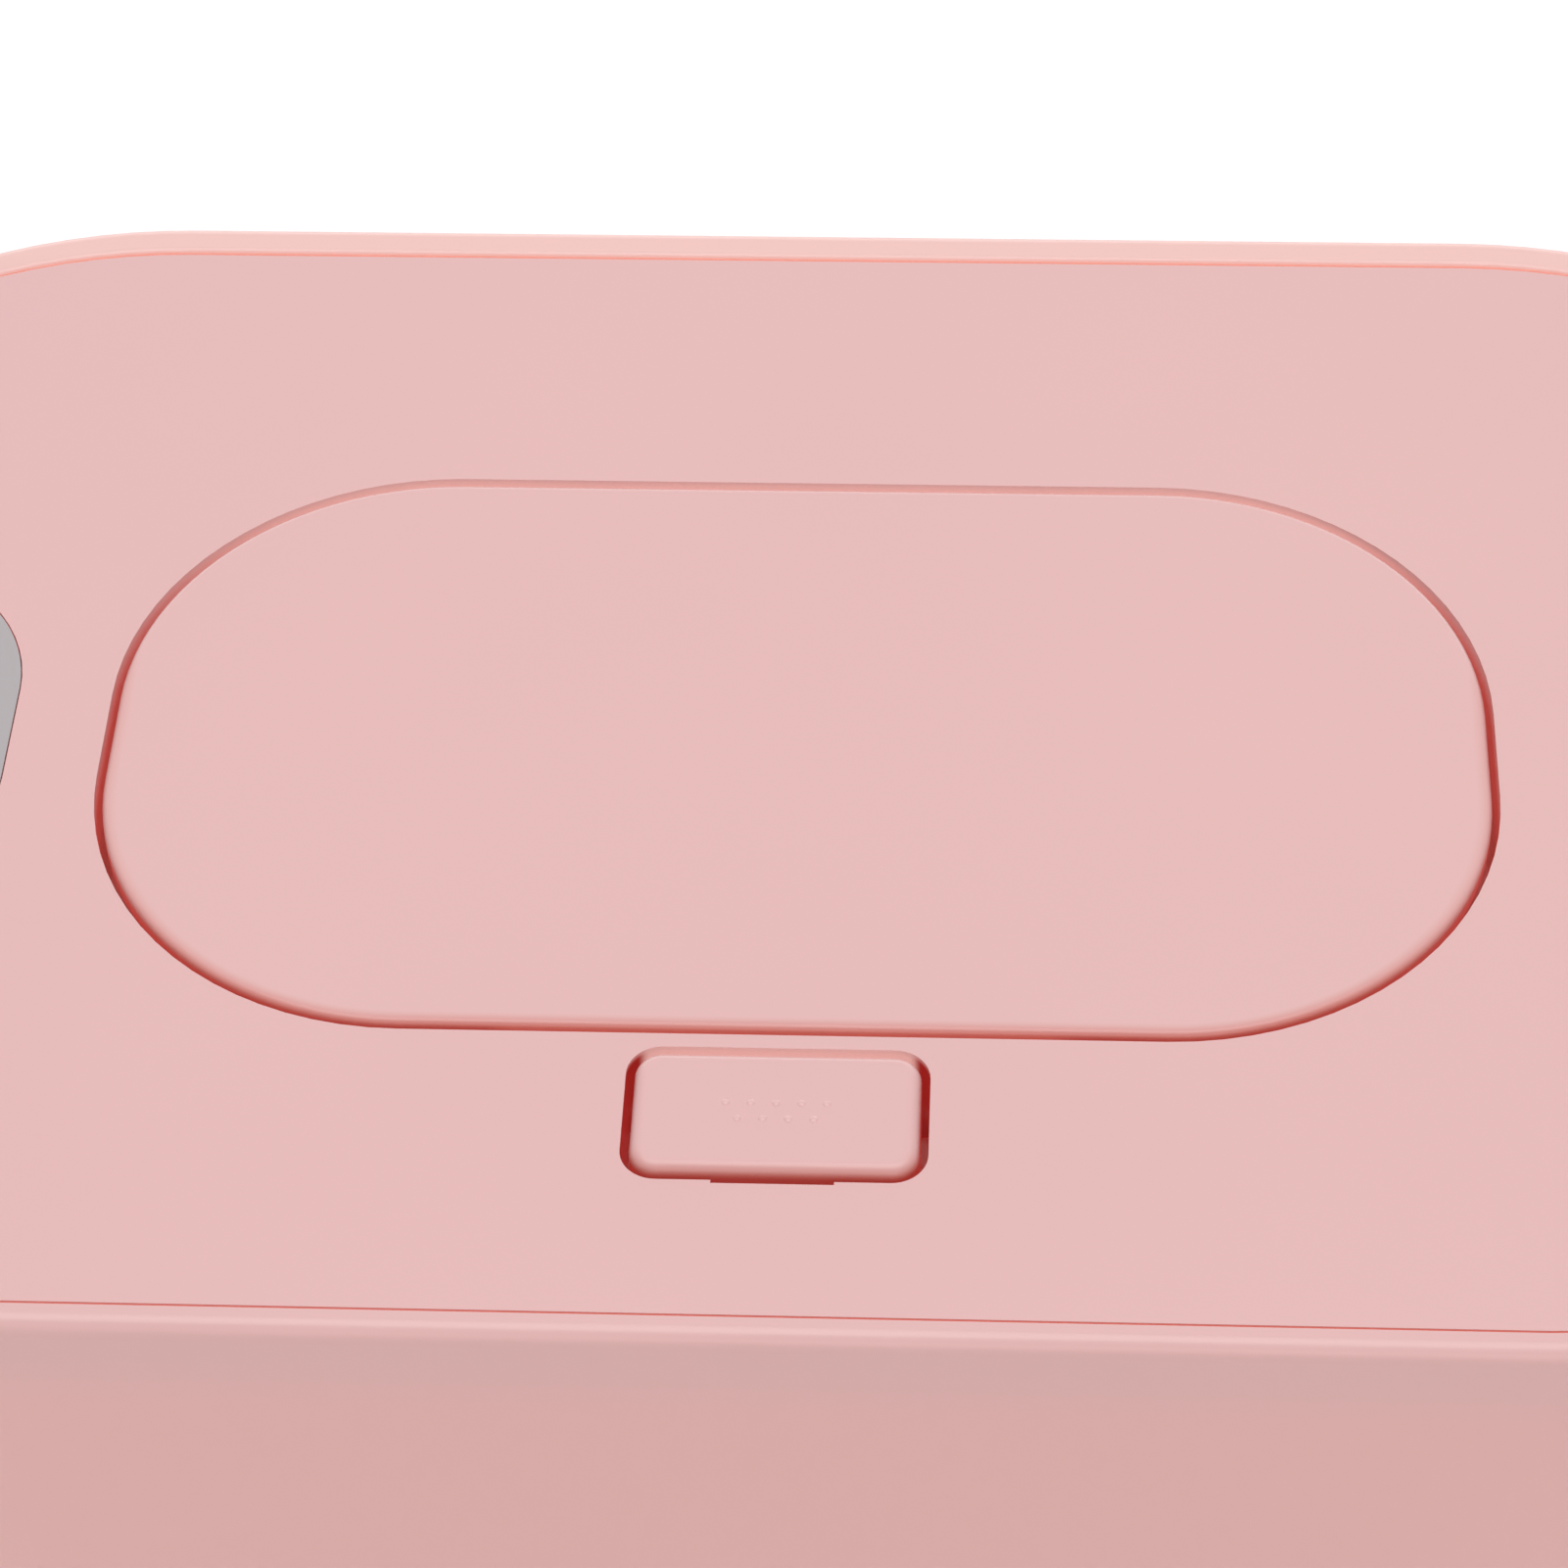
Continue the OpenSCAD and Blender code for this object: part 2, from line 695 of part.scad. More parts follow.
// Tank for the wipes: rounded floor, flange on the casing's ledge, raised sealing lip, bosses below
module inner_tank() {
    boss_z = base_top + screw_seat;
    color(white_plastic) in_frame() difference() {
        union() {
            translate([0, 0, tank_z])
                rounded_block(tank_out_w, tank_out_d, tank_out_r, shell_top + tank_lip_h - tank_z,
                    tank_floor_r + tank_t, 0);
            difference() {
                slab(in_w - 2 * slip, in_d - 2 * slip, in_r - slip, tank_flange_z, shell_top);
                box([-notch_half, -in_d / 2 - cut, tank_flange_z - cut],
                    [notch_half, -in_d / 2 + notch_depth, shell_top + cut]);
            }
            for (p = BASE_SCREWS) rod_z(p[0], p[1], boss_z, tank_z + tank_t / 2, screw_boss_r);
        }
        translate([0, 0, tank_z + tank_t])
            rounded_block(tank_w, tank_d, tank_r, total_h, tank_floor_r, 0);
        for (p = BASE_SCREWS) rod_z(p[0], p[1], boss_z - cut, tank_z + tank_t * 0.4, screw_shank_r + fit);
    }
}

// Aluminium spreader under the tank floor
module heat_plate() {
    color(aluminium) in_frame() slab(heat_w, heat_d, 8, heat_z, tank_z);
}

// Silicone heating mat under the spreader
module heater_mat() {
    color(mat_red) in_frame()
        slab(heat_w - 2 * mat_margin, heat_d - 2 * mat_margin, 8 - mat_margin / 2, mat_z, heat_z);
}

// Resistance foil on the mat: parallel runs joined by half rings
module heater_trace() {
    run_half = heat_w / 2 - 2 * mat_margin - 6;
    pitch = (heat_d - 4 * mat_margin - trace_w) / (trace_runs - 1);
    first_y = -pitch * (trace_runs - 1) / 2;
    color(foil) in_frame() translate([0, 0, mat_z - trace_t]) linear_extrude(trace_t) {
        for (i = [0 : trace_runs - 1])
            translate([-run_half, first_y + i * pitch - trace_w / 2]) square([2 * run_half, trace_w]);
        for (i = [0 : trace_runs - 2])
            translate([(i % 2 == 0 ? 1 : -1) * run_half, first_y + (i + 0.5) * pitch])
                rotate(i % 2 == 0 ? 0 : 180) difference() {
                    circle(pitch / 2 + trace_w / 2);
                    circle(pitch / 2 - trace_w / 2);
                    translate([-pitch * 2, -pitch]) square([pitch * 2, pitch * 2]);
                }
    }
}

// Felt that keeps the heat off the base
module insulation_pad() {
    color(felt) in_frame() slab(heat_w, heat_d, 8, pad_z, pad_z + pad_t);
}

// Circuit board on two posts of the base plate
module control_board() {
    color(board_green) in_frame() difference() {
        box([-board_w / 2, board_y - board_d / 2, board_z],
            [board_w / 2, board_y + board_d / 2, board_z + board_t]);
        both_sides()
            rod_z(board_hole_x, board_post_y(), board_z - cut, board_z + board_t + cut, pilot_r + 0.2);
    }
}

// What is soldered to the board
module board_parts() {
    top = board_z + board_t;
    chip_half = board_w * 0.08;
    plug_half = board_w * 0.09;
    can_x = board_w * 0.23;
    can_y = board_y - board_d * 0.23;
    chip_h = 1.6;
    plug_h = 5.2;
    can_r = 2.4;
    can_h = 6;
    can2_r = 1.9;
    can2_h = 4.6;
    color(black_plastic) in_frame() {
        box([-chip_half, board_y - board_d * 0.07, top],
            [chip_half, board_y + board_d * 0.28, top + chip_h]);
        both_sides()
            box([plug_x - plug_half, plug_y - board_d * 0.3, top],
                [plug_x + plug_half, plug_y, top + plug_h]);
        rod_z(-can_x, can_y, top, top + can_h, can_r);
        rod_z(can_x, can_y, top, top + can2_h, can2_r);
    }
}

// Screws that hold the board
module board_screws() {
    color(steel) in_frame() both_sides()
        translate([board_hole_x, board_post_y(), board_z + board_t + small_head_t]) mirror([0, 0, 1])
            screw(pilot_r - 0.15, board_head_r, small_head_t, board_screw_len);
}

// Light behind the front lens
module indicator_led() {
    y = -in_d / 2 + 2.4;
    color(led_green) in_frame() {
        rod_y(0, y, y + 3, lens_z, 1.5);
        for (x = [-0.8, 0.8]) rod_z(x, y + 1.5, board_z + board_t, lens_z, 0.25);
    }
}

// Small clear lens through the front wall
module indicator_lens() {
    color(silicone) in_frame() {
        rod_y(0, -body_d / 2, -in_d / 2, lens_z, lens_r);
        rod_y(0, -in_d / 2, -in_d / 2 + 1.6, lens_z, lens_r + 1);
    }
}

// Barrel inlet through the rear wall
module dc_jack() {
    color(black_plastic) in_frame() difference() {
        union() {
            rod_y(jack_x, body_d / 2 - wall - jack_len + wall, body_d / 2 + bond, jack_z, jack_r);
            rod_y(jack_x, body_d / 2, body_d / 2 + jack_collar_t, jack_z, jack_collar_r);
        }
        rod_y(jack_x, body_d / 2 + jack_collar_t - jack_bore_len, body_d / 2 + jack_collar_t + cut,
            jack_z, jack_bore_r);
    }
}

// Hexagon nut that holds the inlet inside the wall
module dc_jack_nut() {
    color(steel) in_frame() difference() {
        translate([jack_x, in_d / 2, jack_z]) rotate([90, 0, 0])
            cylinder(r = jack_nut_r, h = jack_nut_t, $fn = hex);
        rod_y(jack_x, in_d / 2 - jack_nut_t - cut, in_d / 2 + cut, jack_z, jack_r + fit);
    }
}

// Centre pin of the inlet and its two tags
module dc_jack_contacts() {
    back = body_d / 2 - jack_len;
    half = [1, 0.3];
    color(steel) in_frame() {
        rod_y(jack_x, body_d / 2 + jack_collar_t - jack_bore_len, body_d / 2 - 0.4, jack_z, jack_pin_r);
        for (z = [jack_z - tag_step, jack_z + tag_step])
            box([jack_x - half[0], back - tag_len, z - half[1]], [jack_x + half[0], back, z + half[1]]);
    }
}

// Bimetal switch against the tank floor
module thermostat() {
    x = heat_w / 2 + 9;
    y = heat_d * 0.31;
    color(black_plastic) in_frame() {
        rod_z(x, y, tank_z - 1.2, tank_z, 6.4);
        rod_z(x, y, tank_z - 4.6, tank_z - 1, 5.2);
        for (tag = [x - tag_step, x + tag_step])
            box([tag - 1.2, y - 0.4, tank_z - 8], [tag + 1.2, y + 0.4, tank_z - 4.4]);
    }
}

// Thermal fuse in a clip on the tank floor
module thermal_fuse() {
    x = -heat_w / 2 - 6;
    y = heat_d * 0.31;
    color(steel) in_frame() {
        rod_y(x, y - 5, y + 5, tank_z - 2.2, 1.9);
        rod_y(x, y - 9, y + 9, tank_z - 2.2, 0.4);
        difference() {
            box([x - 2.6, y - 2, tank_z - 4.4], [x + 2.6, y + 2, tank_z]);
            rod_y(x, y - 3, y + 3, tank_z - 2.2, 1.9);
        }
    }
}

// Leads to the board: two from the inlet round the heater, two from the heater mat
module lead_wires() {
    r = 0.6;
    free = 0.1;
    low = base_top + 4;
    back = body_d / 2 - jack_len - tag_len - free;
    end_y = plug_y + free;
    end_z = board_z + board_t + 2.6;
    far_x = plug_x + 1.5;
    near_x = plug_x - 1.5;
    lane_x = heat_w / 2 + 3;
    lane_y = heat_d / 2 + 1;
    step = 2.6;
    bend = 7;
    side = [0, 0, 1];
    color(black_plastic) in_frame() {
        wire(route([
            [jack_x, back, jack_z - tag_step], [jack_x, back - 2, jack_z - tag_step],
            [jack_x + 0.4, back - 4.8, jack_z - tag_step - 0.5],
            [jack_x + 4, lane_y + step + 1.4, low + 1], [jack_x + 14, lane_y + step, low],
            [lane_x - bend, lane_y + step, low], [lane_x + step, lane_y - bend, low],
            [lane_x + step, 0, low], [lane_x + step, bend - lane_y, low],
            [lane_x - bend, -lane_y - step, low], [2 * far_x + 2, -lane_y - step, low + 0.4],
            [far_x + 1, -lane_y - step - 1, end_z - 0.9], [far_x, end_y + 2, end_z], [far_x, end_y, end_z]
        ], 4), r, side);
        wire(route([
            [jack_x, back, jack_z + tag_step], [jack_x, back - 2, jack_z + tag_step],
            [jack_x + 0.2, back - 4.8, jack_z + tag_step - 1],
            [jack_x + 2, lane_y + 4, low + 3], [jack_x + 10, lane_y, low],
            [lane_x - bend, lane_y, low], [lane_x, lane_y - bend - 1, low],
            [lane_x, 0, low], [lane_x, bend + 1 - lane_y, low],
            [lane_x - bend, -lane_y, low], [2 * far_x, -lane_y, low + 0.4],
            [near_x + 1.5, -lane_y - 2, end_z - 0.9], [near_x, end_y + 2, end_z], [near_x, end_y, end_z]
        ], 4), r, side);
        for (x = [-far_x, -near_x]) wire(route([
            [x, mat_margin - heat_d / 2, heat_z - mat_t / 2], [x, -heat_d / 2, heat_z - mat_t / 2 - 0.2],
            [x, -heat_d / 2 - 4, (heat_z + end_z) / 2], [x, end_y + 1.5, end_z], [x, end_y, end_z]
        ], 4), r, [1, 0, 0]);
    }
}

// Pins of the two main hinges
module hinge_pins() {
    color(steel) in_frame() both_sides()
        rod_x(hinge_x - hinge_w / 2, hinge_x + hinge_w / 2, hinge_y, hinge_z, hinge_pin_r);
}

// Lid casing: skirt, rounded top rim, ledge for the panel, hinge knuckles, two tongues
module lid_shell() {
    color(pink) in_frame() difference() {
        union() {
            difference() {
                translate([0, 0, lid_bottom])
                    rounded_block(body_w, body_d, corner_r, total_h - lid_bottom, 0, edge_r);
                slab(in_w, in_d, in_r, lid_bottom - cut, ledge_z);
                slab(recess_w, recess_d, recess_r, panel_z, total_h + cut, recess_y);
                slab(recess_w - 2 * ledge_w, recess_d - 2 * ledge_w, recess_r - ledge_w,
                    ledge_z - cut, total_h + cut, recess_y);
                rear_shoulder();
            }
            both_sides() {
                hinge_knuckle(hinge_x - lid_leaf / 2, hinge_x + lid_leaf / 2, 1);
                lid_tongue();
            }
        }
        both_sides() rod_x(hinge_x - hinge_w / 2 - cut, hinge_x + hinge_w / 2 + cut,
            hinge_y, hinge_z, hinge_pin_r + fit);
    }
}

// Room above the rear rim's soft edge: the recess flares upwards there and fades out round the corners
module rear_shoulder() {
    reach = recess_r - shoulder_r - fit;
    translate([0, recess_y + shoulder_r / 2, total_h - shoulder_r])
        framed_block(recess_w - 2 * shoulder_r - 2 * fit, recess_d - shoulder_r, reach, shoulder_r + cut) {
            square([reach, shoulder_r + cut]);
            difference() {
                square([reach + shoulder_r, shoulder_r + cut]);
                translate([reach + shoulder_r, 0]) circle(shoulder_r);
            }
        }
}

// Springy tongue that snaps inside the casing's front wall
module lid_tongue() {
    front = -in_d / 2 + tongue_gap;
    along_x(tongue_x - tongue_w / 2, tongue_x + tongue_w / 2) {
        translate([front, lid_bottom - tongue_drop]) square([tongue_t, 2 * tongue_drop]);
        polygon([
            [-in_d / 2 - bond, lid_bottom + tongue_t], [front + bond, lid_bottom + tongue_t],
            [front + bond, lid_bottom + 2 * tongue_drop - tongue_t],
            [-in_d / 2 - bond, lid_bottom + 2 * tongue_drop]
        ]);
        translate([front, lid_bottom - tongue_drop + 1.6]) circle(tongue_bump);
    }
}

// Inset top panel: flip lid's well, hinge ears, button hole with its guide, window seat, bosses
module top_panel() {
    panel_d = recess_d - seam - seam_back;
    panel_y = recess_y + (seam - seam_back) / 2;
    color(pink) in_frame() difference() {
        union() {
            slab(recess_w - 2 * seam, panel_d, recess_r - seam, panel_z, total_h, panel_y);
            slab(hole_w + 2 * well_t, hole_d + 2 * well_t, hole_r + well_t,
                well_bottom, panel_z + bond, pop_y);
            slab(key_hole_w + 2 * guide_t, key_hole_d + 2 * guide_t, key_hole_r + guide_t,
                guide_z, panel_z + bond, button_y);
            both_sides() {
                rod_z(boss_x, button_y, bracket_z + bracket_t, panel_z + bond, boss_r);
                hinge_ear(ear_inner_x);
                hinge_ear(ear_outer_x);
            }
            for (p = LINER_SCREWS) rod_z(p[0], p[1], liner_top, panel_z + bond, screw_boss_r);
        }
        difference() {
            slab(hole_w, hole_d, hole_r, well_z, total_h + cut, pop_y);
            slot_ring(lip_w, lip_d, lip_t, well_z - cut, well_z + lip_h, pop_y);
        }
        slab(key_hole_w, key_hole_d, key_hole_r, guide_z - cut, total_h + cut, button_y);
        slot_slab(slit_w, slit_d, well_bottom - cut, well_z + cut, pop_y);
        box([-nose_half - nose_window, well_front - well_t - cut, latch_z - nose_window],
            [nose_half + nose_window, well_front + cut, latch_top + nose_window]);
        rod_x(-pin_half - cut, pin_half + cut, axis_y, axis_z, pop_pin_r + fit / 2);
        rod_x(-ear_inner_x, ear_inner_x, axis_y, axis_z, groove_r);
        both_sides() {
            rod_x(ear_inner_x + ear_w, ear_outer_x, axis_y, axis_z, groove_r);
            box([arm_x - arm_w / 2 - slip, well_back - fit, well_bottom - cut],
                [arm_x + arm_w / 2 + slip, well_back + well_t + cut, panel_z]);
        }
        both_sides() rod_z(boss_x, button_y, bracket_z + bracket_t - cut, panel_z - cut, pilot_r);
        for (p = LINER_SCREWS) rod_z(p[0], p[1], liner_top - cut, panel_z - cut, pilot_r + fit);
        window_hole(0, panel_z - cut, total_h + cut);
        window_hole(window_step, panel_z - cut, total_h - window_t + window_step_t);
        key_notch();
    }
}

// Narrow slot for the key's front tab
module key_notch() {
    tab_half = 4.8;
    tab_t = 0.3;
    box([-tab_half, button_y - key_hole_d / 2 - tab_t, guide_z - cut],
        [tab_half, button_y - key_hole_d / 2 + cut, total_h + cut]);
}

// Ear that hangs from the panel behind the well and holds the flip lid's pin
module hinge_ear(x) {
    along_x(x, x + ear_w) translate([axis_y, axis_z]) {
        circle(pop_ear_r);
        translate([-pop_ear_r, 0]) square([2 * pop_ear_r, pop_axis_down - panel_t + bond]);
    }
}

// Outline of the sight window, grown by a margin
module window_hole(grow, z0, z1) {
    translate([window_cx, window_cy, z0]) linear_extrude(z1 - z0)
        round_rect(window_w + 2 * (window_gap + grow), window_d + 2 * (window_gap + grow),
            window_r + window_gap + grow);
}

// Inner shell of the lid: a shallow dome with a flange that carries the seal
module lid_liner() {
    color(white_plastic) in_frame() difference() {
        union() {
            translate([0, 0, flange_z])
                rounded_block(tank_w + 2 * liner_t, tank_d + 2 * liner_t, tank_r + liner_t,
                    liner_top - flange_z, 0, liner_top_r + liner_t);
            slab(in_w - 2 * slip, in_d - 2 * slip, in_r - slip, flange_z, flange_z + flange_t);
            liner_posts();
        }
        translate([0, 0, flange_z - total_h])
            rounded_block(tank_w, tank_d, tank_r, total_h + liner_in_z - flange_z, 0, liner_top_r);
        ring(tank_w + gasket_w + gasket_rib_w + 2 * fit, tank_d + gasket_w + gasket_rib_w + 2 * fit,
            tank_r + (gasket_w + gasket_rib_w) / 2 + fit, gasket_rib_w + 2 * fit,
            flange_z - cut, flange_z + gasket_rib_h);
        slot_slab(slit_w, slit_d, liner_in_z - cut, liner_top + cut, pop_y);
        for (p = LINER_SCREWS) rod_z(p[0], p[1], liner_in_z - cut, liner_top + cut, pilot_r + 0.35);
        translate([0, 0, liner_in_z - cut]) linear_extrude(liner_skin + 2 * cut) tube_outline(window_gap);
        box([-notch_half, -in_d / 2 - cut, flange_z - cut],
            [notch_half, -in_d / 2 + notch_depth, flange_z + flange_t + cut]);
    }
}

// Outline of the tube under the sight window, grown by a margin
module tube_outline(grow) {
    translate([tube_cx, window_cy])
        round_rect(tube_w + 2 * grow, tube_d + 2 * grow, tube_r + grow);
}

// Posts on the liner's flange that bear on the ledge under the panel
module liner_posts() {
    post = 4;
    side = in_w / 2 - slip - post / 2;
    face = in_d / 2 - slip - post / 2;
    for (p = [[side, 2 * post], [side, -2 * post], [straight_x - 9, face], [straight_x - 9, -face]])
        both_sides() box([p[0] - post / 2, p[1] - post / 2, flange_z + flange_t - bond],
            [p[0] + post / 2, p[1] + post / 2, ledge_z]);
}

// Silicone ring on the tank's lip, held by a rib in the liner's flange
module lid_gasket() {
    color(silicone) in_frame() {
        ring(tank_w + 2 * gasket_w, tank_d + 2 * gasket_w, tank_r + gasket_w, gasket_w, seal_z, flange_z);
        ring(tank_w + gasket_w + gasket_rib_w, tank_d + gasket_w + gasket_rib_w,
            tank_r + (gasket_w + gasket_rib_w) / 2, gasket_rib_w, flange_z - bond, flange_z + gasket_rib_h);
    }
}

// Screws through the liner into the panel's bosses
module liner_screws() {
    color(steel) in_frame() for (p = LINER_SCREWS)
        translate([p[0], p[1], liner_in_z - screw_head_t])
            screw(pilot_r, liner_head_r, screw_head_t, liner_screw_len);
}

// Grey sight window: a flush pane, a step that bears under the panel, and a short tube to the liner
module level_window() {
    pane_z = total_h - window_t;
    color(grey_window) in_frame() difference() {
        union() {
            translate([window_cx, window_cy, pane_z]) linear_extrude(window_t)
                round_rect(window_w, window_d, window_r);
            translate([window_cx, window_cy, pane_z]) linear_extrude(window_step_t)
                round_rect(window_w + 2 * window_step, window_d + 2 * window_step, window_r + window_step);
            translate([0, 0, liner_in_z]) linear_extrude(pane_z - liner_in_z + bond) tube_outline(0);
        }
        translate([0, 0, liner_in_z - cut]) linear_extrude(pane_z - liner_in_z + cut) tube_outline(-tube_t);
    }
}

// Soft insert gripping the well's floor and the liner, with a star of slits round a small hole
module dispensing_orifice() {
    neck_w = slit_w - slip;
    neck_d = slit_d - slip;
    mouth_r = 7;
    cut_half = slit_w * 0.36;
    cut_w = 0.8;
    petal_z = well_z - 2.6;
    color(silicone) in_frame() difference() {
        union() {
            slot_slab(slit_w + 2 * insert_grip, slit_d + 2 * insert_grip, well_z, well_z + 1.2, pop_y);
            slot_slab(neck_w, neck_d, liner_in_z - 1, well_z + bond, pop_y);
            slot_slab(slit_w + 2 * insert_grip, slit_d + 2 * insert_grip,
                liner_in_z - 1.2, liner_in_z, pop_y);
        }
        slot_slab(neck_w - 5, neck_d - 5, petal_z + 1.2, well_z + 2 * cut, pop_y);
        slot_slab(neck_w - 5, neck_d - 5, liner_in_z - 2 * cut, petal_z, pop_y);
        rod_z(0, pop_y, liner_in_z - cut, well_z + cut, mouth_r);
        for (turn = [-14, 14]) translate([0, pop_y, petal_z - cut])
            rotate(turn) translate([-cut_half, -cut_w / 2, 0]) cube([2 * cut_half, cut_w, 1.2 + 2 * cut]);
    }
}

// Pin of the flip lid
module pop_hinge_pin() {
    color(steel) in_frame() rod_x(-pin_half, pin_half, axis_y, axis_z, pop_pin_r);
}

// Torsion spring on the pin: one leg under the panel, one behind the right arm
module pop_spring() {
    wire_r = 0.28;
    coil_r = pop_pin_r + wire_r + 0.25;
    pitch = 0.9;
    turns = 9;
    steps = 12;
    last_x = ear_inner_x - slip - wire_r;
    leg_z = pop_axis_down - panel_t - wire_r - fit;
    leg_y = arm_back(5) + wire_r + fit;
    coil = [for (i = [0 : turns * steps])
        let (a = 90 + 360 * i / steps)
            [last_x + pitch * (i / steps - turns), axis_y + coil_r * sin(a), axis_z + coil_r * cos(a)]];
    still = [
        [coil[0][0], axis_y + 7, axis_z + leg_z], [coil[0][0], axis_y + groove_r, axis_z + leg_z - 0.1]
    ];
    driven = [
        [last_x, axis_y + coil_r + 0.4, axis_z - 2.2], [last_x, axis_y + leg_y, axis_z - 4.6],
        [last_x + 1.2, axis_y + leg_y, axis_z - 5], [arm_x, axis_y + leg_y, axis_z - 5]
    ];
    color(steel) in_frame()
        wire(concat(still, coil, driven), wire_r, [1, 0.15, 0.2]);
}

// Carrier under the panel: floor, rails for the slide, seat for the spring
module latch_bracket() {
    rail = 1.4;
    color(white_plastic) in_frame() difference() {
        union() {
            box([-bracket_half, bracket_front, bracket_z],
                [bracket_half, bracket_back, bracket_z + bracket_t]);
            both_sides() box([latch_half + latch_gap, bracket_front, bracket_z + bracket_t - bond],
                [latch_half + latch_gap + rail, bracket_back, latch_top]);
            rod_z(0, button_y, bracket_z + bond, bracket_z + bracket_t + 1.4, spring_r - spring_wire - 0.3);
        }
        both_sides() {
            rod_z(boss_x, button_y, bracket_z - cut, bracket_z + bracket_t + cut, pilot_r + 0.3);
            box([leg_x - leg_w / 2 - 0.4, cam_y(bracket_z) - leg_t / 2 - 3.2, bracket_z - cut],
                [leg_x + leg_w / 2 + 0.4, cam_y(bracket_z) + leg_t / 2 + 0.8, bracket_z + bracket_t + cut]);
        }
        both_sides() box([boss_x + boss_r, bracket_front - cut, bracket_z - cut],
            [bracket_half + cut, button_y - boss_r - 1, latch_top + cut]);
    }
}

// Middle of an inclined leg at a level, at rest
function cam_y(z) = button_y + 1.6 - (z - latch_z) * cam_slope;

// Screws of that carrier
module bracket_screws() {
    color(steel) in_frame() both_sides()
        translate([boss_x, button_y, bracket_z - small_head_t])
            screw(pilot_r, carrier_head_r, small_head_t, carrier_screw_len);
}

// Return spring of the button, with closed end turns
module button_spring() {
    low = bracket_z + bracket_t + spring_wire;
    high = key_top - key_skin - spring_wire;
    turns = 7;
    steps = 12;
    closed = 2.2 * spring_wire;
    color(steel) in_frame() wire([for (i = [0 : turns * steps])
        let (
            t = i / steps,
            z = t < 1 ? low + closed * t
                : t > turns - 1 ? high - closed * (turns - t)
                : low + closed + (high - low - 2 * closed) * (t - 1) / (turns - 2)
        )
            [spring_r * cos(360 * t), button_y + spring_r * sin(360 * t), z]
    ], spring_wire, [0, 0, 1]);
}

// Flip lid: thin plate with rounded edges, rim below, two bent arms to the pin, catch, seat for its seal
module pop_lid() {
    rim_t = 1.6;
    rim_in = 1.6;
    rim_h = 3;
    low_r = 0.8;
    color(pink) in_frame() difference() {
        union() {
            translate([0, pop_y, pop_z]) rounded_block(pop_w, pop_d, pop_r, pop_t, low_r, pop_edge_r);
            ring(pop_w - 2 * rim_in, pop_d - 2 * rim_in, pop_r - rim_in, rim_t,
                pop_z - rim_h, pop_z + bond, pop_y);
            both_sides() along_x(arm_x - arm_w / 2, arm_x + arm_w / 2)
                translate([axis_y, axis_z]) arm_profile();
            lid_catch();
        }
        rod_x(-pin_half, pin_half, axis_y, axis_z, pop_pin_r + fit);
        slot_ring(lip_w + 2 * fit, lip_d + 2 * fit, lip_t + 2 * fit, pop_z - cut, pop_z + seal_sunk, pop_y);
    }
}

// Rear face of an arm, at a depth below the hinge axis
function arm_back(depth) = arm_t + 0.2 + 0.4 * depth / arm_floor;

// Side view of an arm about the hinge axis: eye, rear leg, floor, bend round the hole's edge, front leg
module arm_profile() {
    low = arm_floor + arm_t;
    bend_y = sqrt(arm_in * arm_in - arm_floor * arm_floor);
    circle(pop_eye_r);
    polygon([
        [arm_back(0) - arm_t, 0], [arm_back(0), 0],
        [arm_back(low), -low], [arm_back(low) - arm_t, -low]
    ]);
    translate([-bend_y - bond, -low]) square([bend_y + bond + arm_back(low), arm_t]);
    difference() {
        circle(arm_out);
        circle(arm_in);
        translate([-2 * arm_out, 0]) square([4 * arm_out, 2 * arm_out]);
        translate([-bend_y, -2 * arm_out]) square([4 * arm_out, 3 * arm_out]);
    }
    translate([-arm_out, -bond]) square([arm_t, pop_axis_down - pop_t + 2 * bond]);
}

// Hook under the flip lid's front edge
module lid_catch() {
    web_t = 1.5;
    web_y = pop_front + 1.4;
    hook = 0.8;
    along_x(-nose_half - 0.5, nose_half + 0.5) polygon([
        [web_y + web_t, pop_z + bond], [web_y, pop_z + bond], [web_y, latch_z - latch_gap],
        [web_y - hook, latch_z - latch_gap], [web_y - hook, latch_z - latch_gap - 0.5],
        [web_y, well_z + slip + 0.1], [web_y + web_t, well_z + slip + 0.1]
    ]);
}

// Silicone ring under the flip lid that closes on the lip round the orifice
module pop_lid_seal() {
    color(silicone) in_frame()
        slot_ring(lip_w, lip_d, lip_t, well_z + lip_h + slip, pop_z + seal_sunk, pop_y);
}

// Push button: hollow key with rounded edges, a grip of raised dots, two inclined legs
module release_button() {
    color(pink) in_frame() {
        difference() {
            translate([0, button_y, key_z])
                rounded_block(button_w, button_d, button_r, key_top - key_z, 0, button_edge_r);
            slab(button_w - 2 * key_wall, button_d - 2 * key_wall, button_r - key_wall, key_z - cut,
                key_top - key_skin, button_y);
        }
        key_dots();
        both_sides() key_leg();
        translate([0, button_y, key_top - key_skin - 1])
            difference() {
                cylinder(r = spring_r - spring_wire - 0.3, h = 1 + bond);
                translate([0, 0, -cut]) cylinder(r = 0.6, h = cut + 0.6);
            }
    }
}

// Two staggered rows of tiny raised dots
module key_dots() {
    dot_r = 0.36;
    dot_h = 0.12;
    pitch = 2;
    row = 1.65;
    ball = (dot_r * dot_r + dot_h * dot_h) / (2 * dot_h);
    for (line = [0, 1], i = [0 : 4 - line])
        translate([(i - 2 + line / 2) * pitch, button_y + 0.8 - line * row, key_top - ball + dot_h])
            intersection() {
                sphere(ball);
                translate([0, 0, ball - dot_h]) cylinder(r = dot_r * 1.2, h = 2 * dot_h);
            }
}

